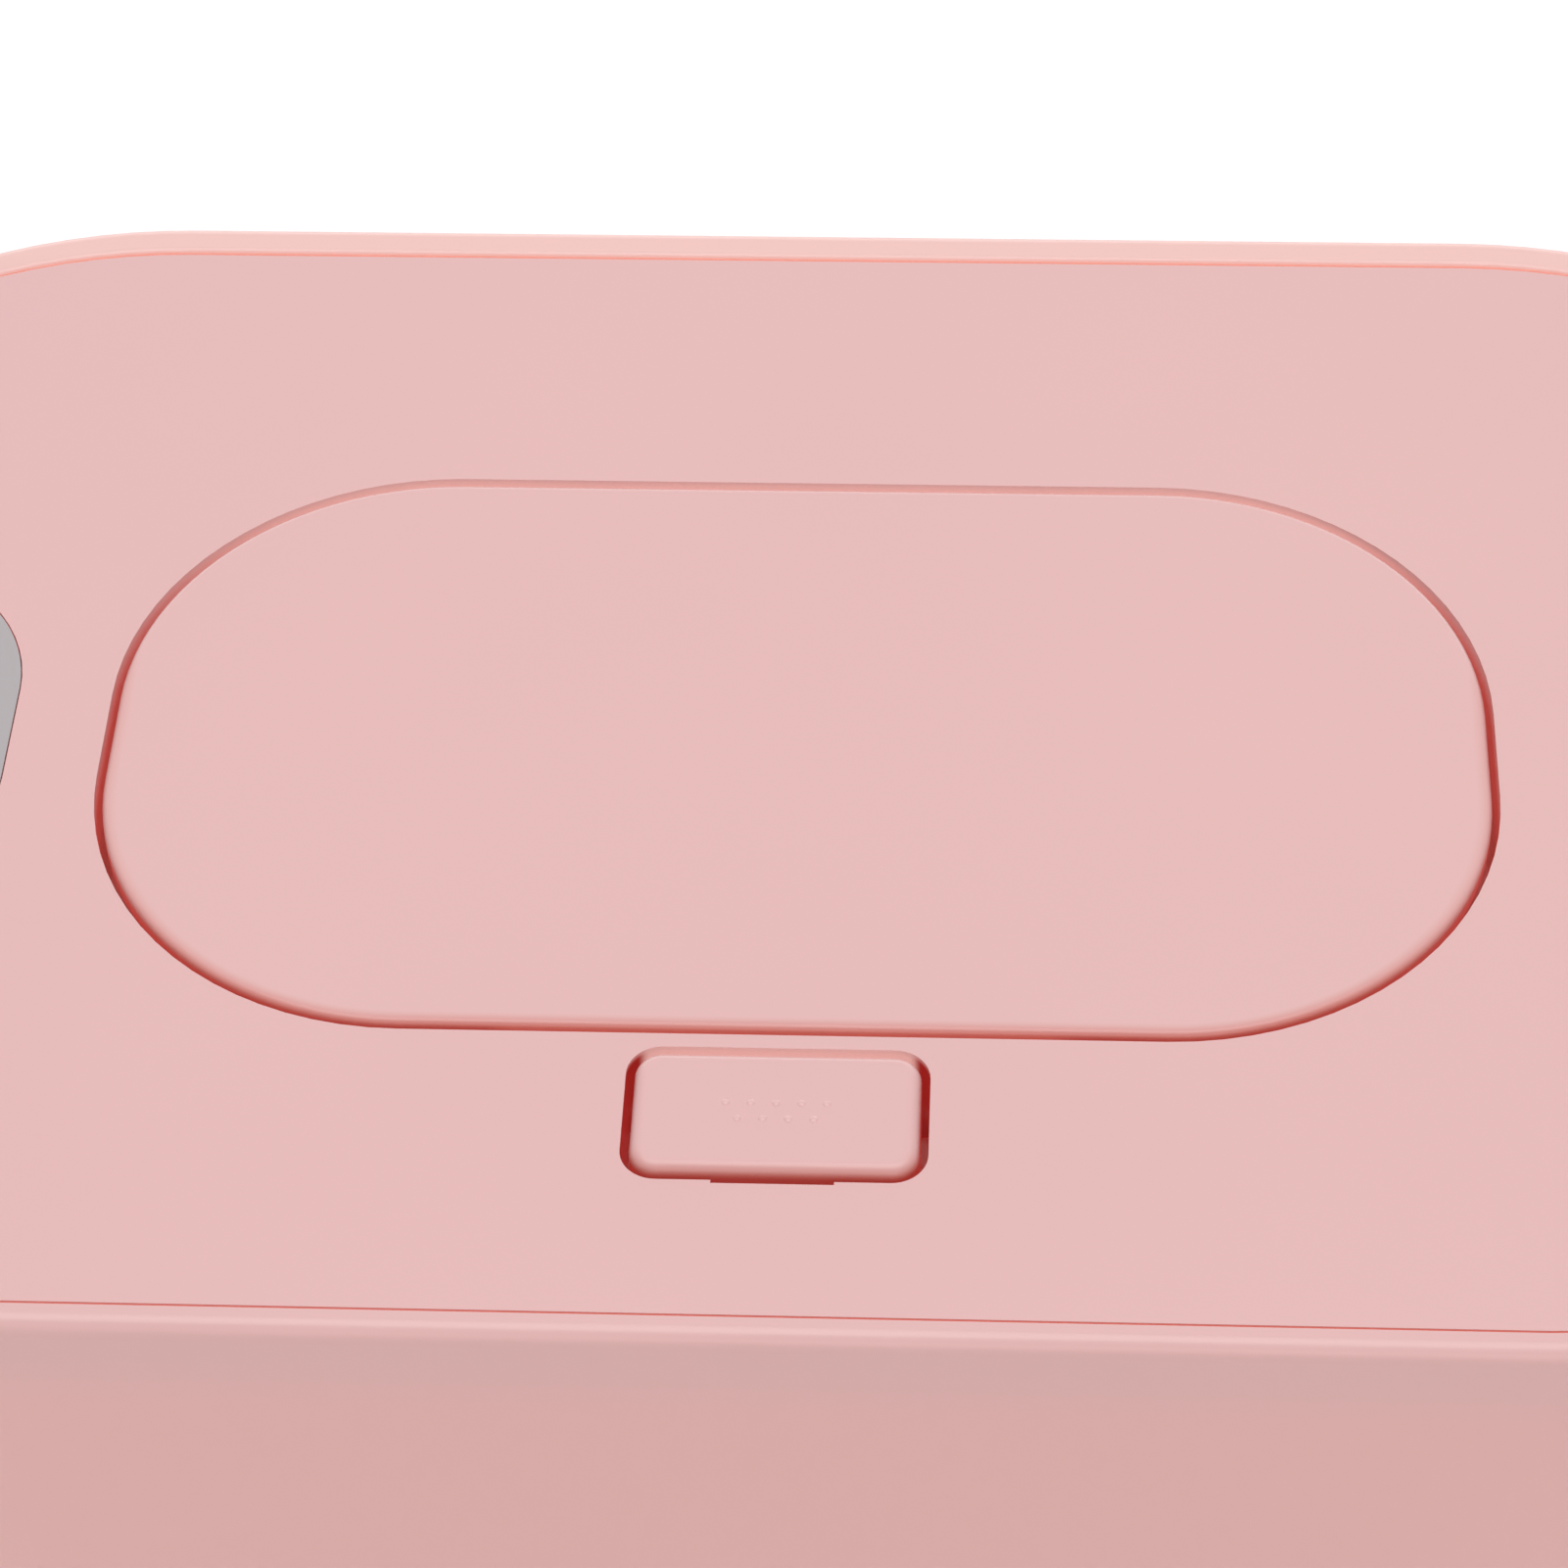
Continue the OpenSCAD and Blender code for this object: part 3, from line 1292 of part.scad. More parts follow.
// Leg whose lower end is inclined and drives the slide both ways
module key_leg() {
    low = latch_z - latch_gap;
    high = latch_top + press_travel + latch_gap;
    along_x(leg_x - leg_w / 2, leg_x + leg_w / 2) {
        polygon([
            [cam_y(low) - leg_t / 2, low], [cam_y(low) + leg_t / 2, low],
            [cam_y(high) + leg_t / 2, high], [cam_y(high) - leg_t / 2, high]
        ]);
        translate([cam_y(high) - leg_t / 2, high]) square([leg_t, key_top - key_skin + bond - high]);
    }
}

// Catch bar: slotted plate driven by the legs, its nose reaching through the well's front wall
module latch_slide() {
    opening = spring_r + spring_wire + 0.7;
    color(white_plastic) in_frame() difference() {
        union() {
            box([-latch_half, latch_front, latch_z], [latch_half, latch_back, latch_top]);
            along_x(-nose_half, nose_half) polygon([
                [latch_back - bond, latch_z], [nose_tip, latch_z], [nose_tip, latch_z + latch_t * 0.5],
                [nose_tip - 0.8, latch_top], [latch_back - bond, latch_top]
            ]);
        }
        translate([0, button_y + latch_travel / 2, latch_z - cut]) linear_extrude(latch_t + 2 * cut)
            rotate(90) stadium(2 * opening + latch_travel, 2 * opening);
        both_sides() along_x(leg_x - leg_w / 2 - cam_gap * 2, leg_x + leg_w / 2 + cam_gap * 2) polygon([
            [cam_y(latch_z - cut) - leg_t / 2 - cam_gap, latch_z - cut],
            [cam_y(latch_z - cut) + leg_t / 2 + cam_gap, latch_z - cut],
            [cam_y(latch_top + cut) + leg_t / 2 + cam_gap, latch_top + cut],
            [cam_y(latch_top + cut) - leg_t / 2 - cam_gap, latch_top + cut]
        ]);
    }
}

body_shell();
base_plate();
rubber_feet();
base_screws();
inner_tank();
heat_plate();
heater_mat();
heater_trace();
insulation_pad();
control_board();
board_parts();
board_screws();
indicator_led();
indicator_lens();
dc_jack();
dc_jack_nut();
dc_jack_contacts();
thermostat();
thermal_fuse();
lead_wires();
hinge_pins();
lid_shell();
top_panel();
lid_liner();
lid_gasket();
liner_screws();
level_window();
dispensing_orifice();
pop_hinge_pin();
pop_spring();
latch_bracket();
bracket_screws();
button_spring();
pop_lid();
pop_lid_seal();
release_button();
latch_slide();
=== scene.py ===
from math import cos, hypot, pi, radians, sin

import bmesh
import bpy
from mathutils import Matrix, Vector


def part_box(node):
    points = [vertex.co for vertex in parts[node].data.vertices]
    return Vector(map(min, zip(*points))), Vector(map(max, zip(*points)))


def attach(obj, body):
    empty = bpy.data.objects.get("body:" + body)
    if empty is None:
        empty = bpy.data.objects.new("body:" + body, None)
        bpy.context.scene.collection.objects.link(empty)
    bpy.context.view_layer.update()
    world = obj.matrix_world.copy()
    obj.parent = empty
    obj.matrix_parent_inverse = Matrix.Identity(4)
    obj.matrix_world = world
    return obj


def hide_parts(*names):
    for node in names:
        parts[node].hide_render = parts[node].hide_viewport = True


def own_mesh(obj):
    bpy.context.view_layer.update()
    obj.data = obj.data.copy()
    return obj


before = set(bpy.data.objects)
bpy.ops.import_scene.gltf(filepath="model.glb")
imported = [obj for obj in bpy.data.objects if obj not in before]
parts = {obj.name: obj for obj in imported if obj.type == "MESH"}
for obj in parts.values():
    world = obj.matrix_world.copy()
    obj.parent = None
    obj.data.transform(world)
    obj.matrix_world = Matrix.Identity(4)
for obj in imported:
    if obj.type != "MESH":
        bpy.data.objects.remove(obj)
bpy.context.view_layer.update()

scene = bpy.context.scene

# Studio: a soft box overhead, a warm weak one in front, a low one behind, and white walls all round. The
# camera stands where the photographer's did.
LOOK_AT = Vector((-0.000865, -0.009255, 0.105))
CAMERA_TURN, CAMERA_RISE, CAMERA_ROLL = 0.0625, 0.7941, -0.0295
CAMERA_DISTANCE = 0.4258
LENS_MM = 117.23

level = cos(CAMERA_RISE)
backward = Vector((sin(CAMERA_TURN) * level, -cos(CAMERA_TURN) * level, sin(CAMERA_RISE)))
across = Vector((cos(CAMERA_TURN), sin(CAMERA_TURN), 0))
upward = backward.cross(across)
tilted_across = cos(CAMERA_ROLL) * across + sin(CAMERA_ROLL) * upward
tilted_up = cos(CAMERA_ROLL) * upward - sin(CAMERA_ROLL) * across
camera = bpy.data.objects.new("Camera", bpy.data.cameras.new("Camera"))
camera.data.lens = LENS_MM
camera.data.sensor_width = 36
camera.data.clip_start = 0.01
camera.matrix_world = Matrix.Translation(LOOK_AT + CAMERA_DISTANCE * backward) @ Matrix(
    (tilted_across, tilted_up, backward)).transposed().to_4x4()
scene.collection.objects.link(camera)
scene.camera = camera
scene.view_settings.view_transform = "Standard"


def soft_light(name, place, aim, size, power, tint=(1, 1, 1)):
    """A square soft box that looks at a point."""
    lamp = bpy.data.objects.new(name, bpy.data.lights.new(name, "AREA"))
    lamp.data.shape = "RECTANGLE"
    lamp.data.size, lamp.data.size_y = size
    lamp.data.energy = power
    lamp.data.color = tint
    lamp.location = place
    lamp.rotation_euler = (Vector(aim) - Vector(place)).to_track_quat("-Z", "Y").to_euler()
    scene.collection.objects.link(lamp)


soft_light("Overhead_Softbox", (0.0, 0.04, 0.95), (0, 0.0, 0.05), (0.8, 0.6), 3.80)
soft_light("Front_Softbox", (0.25, -1.15, 0.75), (0, 0, 0.06), (0.9, 0.6), 2.45, (1.0, 0.66, 0.60))
soft_light("Rear_Softbox", (0, 1.0, 0.36), (0, 0.05, 0.08), (1.4, 0.3), 2.4)

world = bpy.data.worlds.new("White_Studio")
world.use_nodes = True
world.node_tree.nodes["Background"].inputs["Color"].default_value = (1, 1, 1, 1)
world.node_tree.nodes["Background"].inputs["Strength"].default_value = 0.70
scene.world = world


# Floor: one seamless white sheet of card on the table. It runs out of the picture on all sides, and the
# warmer stands on it.
class Signal:
    """One output of a node, in a finish or in a shape. Arithmetic on it adds the nodes that do the sum."""

    def __init__(self, tree, output):
        self.tree, self.output = tree, output

    def feed(self, socket):
        self.tree.links.new(self.output, socket)

    def add(self, kind, sockets=(), out=0, **settings):
        """Adds any node: its settings first, then the values or links of its sockets."""
        node = self.tree.nodes.new(kind)
        for name, value in settings.items():
            setattr(node, name, value)
        for name, value in dict(sockets).items():
            for link in value if isinstance(value, list) else [value]:
                if isinstance(link, Signal):
                    link.feed(node.inputs[name])
                else:
                    node.inputs[name].default_value = link
        return Signal(self.tree, node.outputs[out])

    def sum(self, operation, first, second=0.0):
        return self.add("ShaderNodeMath", {0: first, 1: second}, operation=operation)

    def __add__(self, other):
        return self.sum("ADD", self, other)

    def __sub__(self, other):
        return self.sum("SUBTRACT", self, other)

    def __mul__(self, other):
        return self.sum("MULTIPLY", self, other)

    def __rsub__(self, other):
        return self.sum("SUBTRACT", other, self)

    def __truediv__(self, other):
        return self.sum("DIVIDE", self, other)

    def __abs__(self):
        return self.sum("ABSOLUTE", self)

    __radd__, __rmul__ = __add__, __mul__

    def ramp(self, low, high):
        """0 at low, 1 at high, smooth between them."""
        return self.add("ShaderNodeMapRange", {"Value": self, "From Min": low, "From Max": high},
                        interpolation_type="SMOOTHSTEP")

    def noise(self, scale, detail=2.0, roughness=0.5):
        return self.add("ShaderNodeTexNoise", {"Vector": self, "Scale": scale, "Detail": detail,
                                               "Roughness": roughness})

    def stretch(self, x, y, z):
        """The same place, with each axis scaled, so that a pattern on it runs long or short."""
        return self.add("ShaderNodeMapping", {"Vector": self, "Scale": (x, y, z)})

    def vector(self, x=0.0, y=0.0, z=0.0):
        return self.add("ShaderNodeCombineXYZ", {"X": x, "Y": y, "Z": z})

    def axis(self, number):
        return self.add("ShaderNodeSeparateXYZ", {0: self}, out=number)

    def blend(self, first, second):
        """Colour that goes from first to second as this signal goes from 0 to 1."""
        return self.add("ShaderNodeMix", {"Factor": self, 6: first, 7: second}, out=2, data_type="RGBA")


def finish(name, **constants):
    """Starts a material. Gives it, its shader and the place on the object that patterns read."""
    material = bpy.data.materials.new(name)
    material.use_nodes = True
    tree = material.node_tree
    shader = tree.nodes["Principled BSDF"]
    for socket, value in constants.items():
        shader.inputs[socket.replace("_", " ").title().replace("Ior", "IOR")].default_value = value
    place = Signal(tree, tree.nodes.new("ShaderNodeTexCoord").outputs["Object"])
    return material, shader.inputs, place


def colour(red, green, blue):
    return (red, green, blue, 1)


FLOOR_GAP = 0.0003
floor_finish, sockets, place = finish("White_Sheet", roughness=0.9, specular_ior_level=0.1)
place.noise(3.0).blend(colour(0.93, 0.93, 0.93), colour(0.95, 0.95, 0.95)).feed(sockets["Base Color"])
bpy.ops.mesh.primitive_plane_add(size=8, location=(0, 0, -FLOOR_GAP))
floor = bpy.context.object
floor.name = "Table_Sheet"
floor.data.materials.append(floor_finish)

# Casing and base: injection-moulded in the pink semi-gloss plastic that the lid, its panel, the flip lid and
# the button share. The red in the narrow gaps of the lid's parts is a painted glow; here the walls are
# painted warmer.
PINK = colour(0.640, 0.400, 0.393)
PINK_WARM = colour(0.652, 0.404, 0.394)
# Painted light: a redder pink for walls below the top, standing in for warm light bounced onto the sides.
PINK_WALL_PAINTED_WARM = colour(0.685, 0.402, 0.388)
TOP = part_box("top_panel")[1].z


def relief(sockets, height, strength, distance):
    """Bump from a height signal, its depth in metres."""
    height.add("ShaderNodeBump", {"Height": height, "Strength": strength, "Distance": distance}).feed(
        sockets["Normal"])


def gloss(sockets, place, scale, span, least):
    """Roughness that drifts from a least value over a span."""
    (place.noise(scale) * span + least).feed(sockets["Roughness"])


def pink_plastic(name):
    """Pink plastic: faint flow clouding, soft gloss that varies a little, skin of a polished mould."""
    material, sockets, place = finish(name, ior=1.46, coat_roughness=0.15, coat_weight=0.12)
    gloss(sockets, place, 60.0, 0.06, 0.30)
    relief(sockets, place.noise(700.0, 2.0, 0.4), 0.04, 0.0001)
    return material, sockets, place, place.noise(9.0, 3.0, 0.55).ramp(0.3, 0.7).blend(PINK, PINK_WARM)


casing_pink, sockets, place, clouds = pink_plastic("Casing_Pink")
# Walls 3 to 10 mm under the top are painted the warmer pink, a painted light.
(TOP - place.axis(2)).ramp(0.003, 0.010).blend(clouds, PINK_WALL_PAINTED_WARM).feed(sockets["Base Color"])
for name in ("body_shell", "base_plate"):
    parts[name].data.materials[0] = casing_pink

# Top panel: one moulding with the flip lid's well and the button's hole. The walls of its narrow gaps are
# painted a deep red glow just under the top face, fading further down. Rear walls are painted paler, a
# painted highlight where they face the light.
GAP_REACH = 0.014


def paint_gap_glow(sockets, place, edge, deep):
    """Painted glow: an emission where a gap is occluded, pale at its mouth, red inside, as light through
    plastic.
    """
    sockets["Emission Strength"].default_value = 1.0
    crevice = 1.0 - place.add("ShaderNodeAmbientOcclusion", {"Distance": GAP_REACH}, out=1, samples=2)
    mouth = crevice.ramp(0.50, 0.76).blend(colour(0, 0, 0), edge)
    crevice.ramp(0.76, 0.96).blend(mouth, deep).feed(sockets["Emission Color"])


def off_outline(place, node, corner, inset):
    """Distance outside the rounded outline of a node, drawn in by an inset. It is negative inside."""
    low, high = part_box(node)
    reach = [abs(place.axis(n) - (low[n] + high[n]) / 2) - ((high[n] - low[n]) / 2 - corner) for n in (0, 1)]
    beyond = [r.sum("MAXIMUM", r, 0.0) for r in reach]
    squares = beyond[0] * beyond[0] + beyond[1] * beyond[1]
    straight = reach[0].sum("MAXIMUM", reach[0], reach[1])
    return squares.sum("SQRT", squares) + straight.sum("MINIMUM", straight, 0.0) - (corner - inset)


# Painted glow: the deep red of light seeming to come through the plastic in the gaps.
PAINTED_GAP_RED = colour(0.54, 0.155, 0.125)
# Painted shade and glow: the dark red inside the key's hole.
PAINTED_KEY_HOLE_RED = colour(0.34, 0.012, 0.008)
# Painted light: the pale salmon of a lit seam.
PAINTED_SEAM_GLOW = colour(0.84, 0.47, 0.39)
PANEL_CORNER = 0.0455
panel_pink, sockets, place, clouds = pink_plastic("Panel_Pink")
depth = TOP - place.axis(2)
back = place.axis(1)
button_front, button_rear = (corner.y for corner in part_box("release_button"))
key_hole = (1.0 - back.ramp(button_rear + 0.002, button_rear + 0.004)) * back.ramp(
    button_front - 0.0045, button_front - 0.0035) * (1.0 - abs(place.axis(0)).ramp(0.021, 0.024))
# Painted highlight: the rear wall of the key's hole, near its top, is kept pale as if lit.
painted_key_rear_light = back.ramp(button_rear - 0.0002, button_rear + 0.0005) * key_hole * (
    1.0 - depth.ramp(0.0012, 0.0030))
# Rear walls painted paler, as if they face the light.
painted_rear_light = back.ramp(0.008, 0.030) + painted_key_rear_light
# Painted shade and red glow just under the top, round the key's hole, except on its rear wall.
painted_key_hole_mask = depth.ramp(0.0001, 0.0007) * (key_hole - painted_key_rear_light)
# Painted red glow on gap walls 1 to 7.5 mm under the top, weaker on the painted-paler rear walls.
painted_glow_mask = painted_key_hole_mask.sum("MAXIMUM", painted_key_hole_mask, depth.ramp(0.0010, 0.0025) * (1.0 - depth.ramp(0.0030, 0.0075)))
# Painted glow in the seam round the panel's outer edge, just under its top.
seam = off_outline(place, "top_panel", PANEL_CORNER, 0.0003).ramp(0.0, 0.0002) * depth.ramp(0.00002, 0.0002)
outer = seam.blend((painted_glow_mask * (1.0 - painted_rear_light * 0.6)).blend(clouds, PAINTED_GAP_RED), PAINTED_SEAM_GLOW)
painted_key_hole_mask.blend(outer, PAINTED_KEY_HOLE_RED).feed(sockets["Base Color"])
# Painted emission glow in the gaps: pale on the rear walls, dark red in the key's hole.
paint_gap_glow(sockets, place,
          painted_rear_light.blend(key_hole.blend(colour(0.22, 0.09, 0.07), colour(0.06, 0.012, 0.010)),
                          colour(0.54, 0.42, 0.38)),
          painted_rear_light.blend(key_hole.blend(colour(0.20, 0.030, 0.024), colour(0.15, 0.011, 0.009)),
                          colour(0.56, 0.40, 0.36)))
parts["top_panel"].data.materials[0] = panel_pink

# Lid casing: the deep skirt round the panel. Its rear rim is painted paler, a painted highlight, and its seam
# with the panel gets a painted salmon colour and a painted glow, as the panel's seam does.
# Painted highlight: the paler pink of the rear rim.
PAINTED_RIM_HIGHLIGHT = colour(0.73, 0.465, 0.435)
skirt_pink, sockets, place, clouds = pink_plastic("Lid_Skirt_Pink")
# Painted emission glow in the seam and the gaps.
paint_gap_glow(sockets, place, colour(0.32, 0.26, 0.24), colour(0.19, 0.018, 0.014))
depth = TOP - place.axis(2)
inside = 1.0 - off_outline(place, "top_panel", PANEL_CORNER, -0.0009).ramp(0.0, 0.0004)
# Walls below the top painted the warmer pink, as on the casing.
walls = depth.ramp(0.003, 0.010)
# Painted highlight along the rear rim, near its top.
painted_rear_highlight = place.axis(1).ramp(0.048, 0.060) * (1.0 - depth.ramp(0.002, 0.010))
# Painted salmon glow in the seam with the panel.
seam = depth.ramp(0.0001, 0.0005) * (1.0 - depth.ramp(0.0015, 0.0030)) * inside
seam.blend(painted_rear_highlight.blend(walls.blend(clouds, PINK_WALL_PAINTED_WARM), PAINTED_RIM_HIGHLIGHT), PAINTED_SEAM_GLOW).feed(sockets["Base Color"])
parts["lid_shell"].data.materials[0] = skirt_pink

# Flip lid and button: thin mouldings in the same plastic, let into the panel's well and its hole. Their
# rounded edges are painted the red of their gaps, a painted glow: fully in front, less at the sides, and from
# one depth to another.
LID_CORNER, BUTTON_CORNER, PAINTED_RIM_WIDTH = 0.0272, 0.0022, 0.0014
for name, node, corner, face, start, full, fade, sides, edge in (
        ("Flip_Lid_Pink", "pop_lid", LID_CORNER, TOP, -0.0009, 0.0005, 0.020, 0.45, (0.10, 0.03, 0.02)),
        ("Button_Pink", "release_button", BUTTON_CORNER, TOP + 0.0004, -0.0006, 0.0011, 0.0032, 0.3,
         (0.22, 0.12, 0.10))):
    edge_pink, sockets, place, clouds = pink_plastic(name)
    # Painted emission glow in the gaps round the flip lid and the button.
    paint_gap_glow(sockets, place, colour(*edge), colour(0.18, 0.015, 0.012))
    depth = face - place.axis(2)
    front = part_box(node)[0].y
    # Rounded edges painted the deep gap red, most in front, fading with depth: a painted glow.
    rim = off_outline(place, node, corner, PAINTED_RIM_WIDTH).ramp(0.0, PAINTED_RIM_WIDTH) * (
        1.0 - place.axis(1).ramp(front + 0.0012, front + fade) * (1.0 - sides))
    (depth.ramp(start, full) * (1.0 - depth.ramp(0.0026, 0.0046)) * rim).blend(clouds, PAINTED_GAP_RED).feed(
        sockets["Base Color"])
    parts[node].data.materials[0] = edge_pink


# Sight window: a flat pane of grey smoked plastic, satin on top, let into the panel. It is moulded in one
# with the tube under it.
def mottled(name, patches, dark, pale, drift, grain=None, stretch=None, **constants):
    """A plain finish: two colours in patches, a gloss that drifts, and a fine grain where it has one."""
    material, sockets, place = finish(name, **constants)
    spread = place.stretch(*stretch) if stretch else place
    spread.noise(*patches).blend(colour(*dark), colour(*pale)).feed(sockets["Base Color"])
    gloss(sockets, place, *drift)
    if grain:
        scale, detail, strength, distance = grain
        relief(sockets, place.noise(scale, detail), strength, distance)
    return material


parts["level_window"].data.materials[0] = mottled(
    "Smoked_Window", (40.0,), (0.355, 0.332, 0.340), (0.37, 0.346, 0.354), (300.0, 0.08, 0.42), ior=1.49)

# Tank and lid liner: white polypropylene, satin, faintly clouded by the flow of the melt. Each is one deep
# moulding, held by screws.
white_satin = mottled(
    "White_Satin", (14.0, 3.0), (0.80, 0.80, 0.785), (0.84, 0.84, 0.83), (90.0, 0.10, 0.34),
    (1500.0, 1.0, 0.12, 0.00008), (1.0, 1.0, 3.0), ior=1.48, subsurface_weight=0.15,
    subsurface_scale=0.0015, subsurface_radius=(1.0, 0.9, 0.8))
for name in ("inner_tank", "lid_liner"):
    parts[name].data.materials[0] = white_satin

# Carrier and catch bar of the button: mouldings in the same white plastic, the carrier held by two screws.
# Their copy of the finish carries a painted red glow in its gaps, in place of the red light under the panel.
glowing_satin = white_satin.copy()
glowing_satin.name = "White_Satin_In_Red_Light"
shader = glowing_satin.node_tree.nodes["Principled BSDF"]
coordinates = next(node for node in glowing_satin.node_tree.nodes if node.bl_idname == "ShaderNodeTexCoord")
paint_gap_glow(shader.inputs, Signal(glowing_satin.node_tree, coordinates.outputs["Object"]),
          colour(0.03, 0.003, 0.002), colour(0.08, 0.004, 0.003))
for name in ("latch_bracket", "latch_slide"):
    parts[name].data.materials[0] = glowing_satin

# Dispensing mouth: a soft silicone insert that grips the panel's well and the liner. Its thin membrane is cut
# by two crossing slits through a round hole, and its four flaps hold the next wipe.
silicone_white = mottled(
    "Soft_Silicone", (25.0,), (0.80, 0.79, 0.77), (0.84, 0.83, 0.81), (120.0, 0.12, 0.42),
    (1800.0, 2.0, 0.15, 0.00006), ior=1.41, subsurface_weight=0.5, subsurface_scale=0.0025,
    subsurface_radius=(1.0, 0.85, 0.7), sheen_weight=0.15)


def skin(name, rings, material, closed=False):
    """Mesh through rings of points, all of one count. Its ends are capped, or joined to each other."""
    sides = len(rings[0])
    points = [point for ring in rings for point in ring]
    faces = []
    for k in range(len(rings) if closed else len(rings) - 1):
        low, high = k * sides, (k + 1) % len(rings) * sides
        faces += [(low + i, low + (i + 1) % sides, high + (i + 1) % sides, high + i) for i in range(sides)]
    if not closed:
        faces += [tuple(range(sides)), tuple(range(len(points) - sides, len(points)))]
    mesh = bpy.data.meshes.new(name)
    mesh.from_pydata(points, [], faces)
    mesh.materials.append(material)
    piece = bpy.data.objects.new(name, mesh)
    scene.collection.objects.link(piece)
    return piece


def fit_on(piece, body, slot, *replaced, sharp=40):
    """Turns a piece's faces outwards, smooths it up to an angle, and fixes it to its body."""
    work = bmesh.new()
    work.from_mesh(piece.data)
    bmesh.ops.remove_doubles(work, verts=work.verts, dist=1e-6)
    bmesh.ops.recalc_face_normals(work, faces=work.faces)
    work.to_mesh(piece.data)
    work.free()
    piece.data.shade_smooth()
    piece.data.set_sharp_from_angle(angle=radians(sharp))
    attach(piece, body)
    if replaced:
        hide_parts(*replaced)
    return piece


def stadium_points(half_straight, count):
    """Places round a slot's centre line, each with its way out, evenly spaced for a radius of 16 mm."""
    radius = 0.016
    straight, turn = 2 * half_straight, pi * radius
    found = []
    for i in range(count):
        run = (i + 0.5) / count * 2 * (straight + turn)
        side, run = (1, run) if run < straight + turn else (-1, run - straight - turn)
        if run < turn:
            angle = run / radius - pi / 2
            found.append((side * half_straight, 0.0, side * cos(angle), side * sin(angle)))
        else:
            found.append((side * (half_straight - (run - turn)), 0.0, 0.0, side * 1.0))
    return found


mouth_low, mouth_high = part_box("dispensing_orifice")
mouth_middle = (mouth_low + mouth_high) / 2
FLANGE_T = 0.0012
WELL_FLOOR = mouth_high.z - FLANGE_T
MOUTH_HOLE = 0.0070
SLIT_REACH = 0.0202
SLIT_HALF = 0.0004
SLIT_TURN = radians(14)
MEMBRANE, SAG = 0.0012, 0.0012
NECK = 0.01285
NECK_IN = NECK - 0.0025
MOUTH_POINTS = 288
half_straight = (mouth_high.x - mouth_low.x - mouth_high.y + mouth_low.y) / 2
rim_points = stadium_points(half_straight, MOUTH_POINTS)


def rim_ring(reach, z):
    """Slot-shaped ring of the insert at a distance from its centre line."""
    return [(mouth_middle.x + x + reach * nx, mouth_middle.y + y + reach * ny, z)
            for x, y, nx, ny in rim_points]


def star_point(x, y):
    """Where the line from the mouth's centre to this point leaves the round hole and its slits."""
    away = hypot(x, y)
    best = MOUTH_HOLE
    for turn in (SLIT_TURN, -SLIT_TURN):
        along = abs(x * cos(turn) + y * sin(turn)) / away
        aside = abs(y * cos(turn) - x * sin(turn)) / away
        best = max(best, min(SLIT_REACH / along, SLIT_HALF / max(aside, 1e-6)))
    return x / away * best, y / away * best


def flap_ring(share, z):
    """Ring of the membrane, from the star-shaped cut, share 0, to the neck, share 1. It sags to the cut."""
    ring = []
    for x, y, nx, ny in rim_points:
        far_x, far_y = x + NECK_IN * nx, y + NECK_IN * ny
        near_x, near_y = star_point(far_x, far_y)
        at_x, at_y = near_x + (far_x - near_x) * share, near_y + (far_y - near_y) * share
        sunk = SAG * (1 - min(1.0, hypot(at_x / (half_straight + NECK_IN), at_y / NECK_IN))) ** 1.3
        ring.append((mouth_middle.x + at_x, mouth_middle.y + at_y, z - sunk))
    return ring


membrane_top = WELL_FLOOR - 0.0014
membrane_low = membrane_top - MEMBRANE
flange = (mouth_high.y - mouth_low.y) / 2
liner_face = mouth_low.z + FLANGE_T
flap_shares = (0.03, 0.1, 0.3, 0.55, 0.8, 0.95, 1.0)
mouth = skin("Silicone_Mouth", [
    flap_ring(0.0, membrane_top - MEMBRANE / 2), flap_ring(0.008, membrane_top - MEMBRANE * 0.15),
    *[flap_ring(share, membrane_top) for share in flap_shares],
    rim_ring(NECK_IN + 0.0003, WELL_FLOOR + 0.0007), rim_ring(NECK_IN + 0.0007, mouth_high.z - 0.0001),
    rim_ring(NECK_IN + 0.0012, mouth_high.z), rim_ring(flange - 0.0008, mouth_high.z),
    rim_ring(flange - 0.0002, mouth_high.z - 0.0002), rim_ring(flange, mouth_high.z - 0.0007),
    rim_ring(flange, WELL_FLOOR), rim_ring(NECK, WELL_FLOOR),
    rim_ring(NECK, liner_face), rim_ring(flange, liner_face), rim_ring(flange, liner_face - 0.0007),
    rim_ring(flange - 0.0003, mouth_low.z + 0.0001), rim_ring(flange - 0.0008, mouth_low.z),
    rim_ring(NECK_IN + 0.0010, mouth_low.z), rim_ring(NECK_IN + 0.0004, mouth_low.z + 0.0004),
    *[flap_ring(share, membrane_low) for share in reversed(flap_shares)],
    flap_ring(0.008, membrane_low + MEMBRANE * 0.15),
], silicone_white, closed=True)
fit_on(mouth, "main_lid", "soft_silicone", "dispensing_orifice")


# Seals: silicone rings cut to length and joined. The lid's seal lies on the tank's lip on two beads, held by
# its rib in the liner. The flip lid's seal is a skirt with a round foot that closes on the lip of the well.
def recipe(name, **sizes):
    """Starts a tree of Geometry Nodes with named sizes. Gives it and its incoming signals by name."""
    tree = bpy.data.node_groups.new(name, "GeometryNodeTree")
    tree.interface.new_socket("Geometry", in_out="INPUT", socket_type="NodeSocketGeometry")
    for size, kind in sizes.items():
        tree.interface.new_socket(size.replace("_", " "), in_out="INPUT", socket_type="NodeSocket" + kind)
    tree.interface.new_socket("Geometry", in_out="OUTPUT", socket_type="NodeSocketGeometry")
    start = tree.nodes.new("NodeGroupInput")
    return tree, {socket.name: Signal(tree, socket) for socket in start.outputs if socket.name}


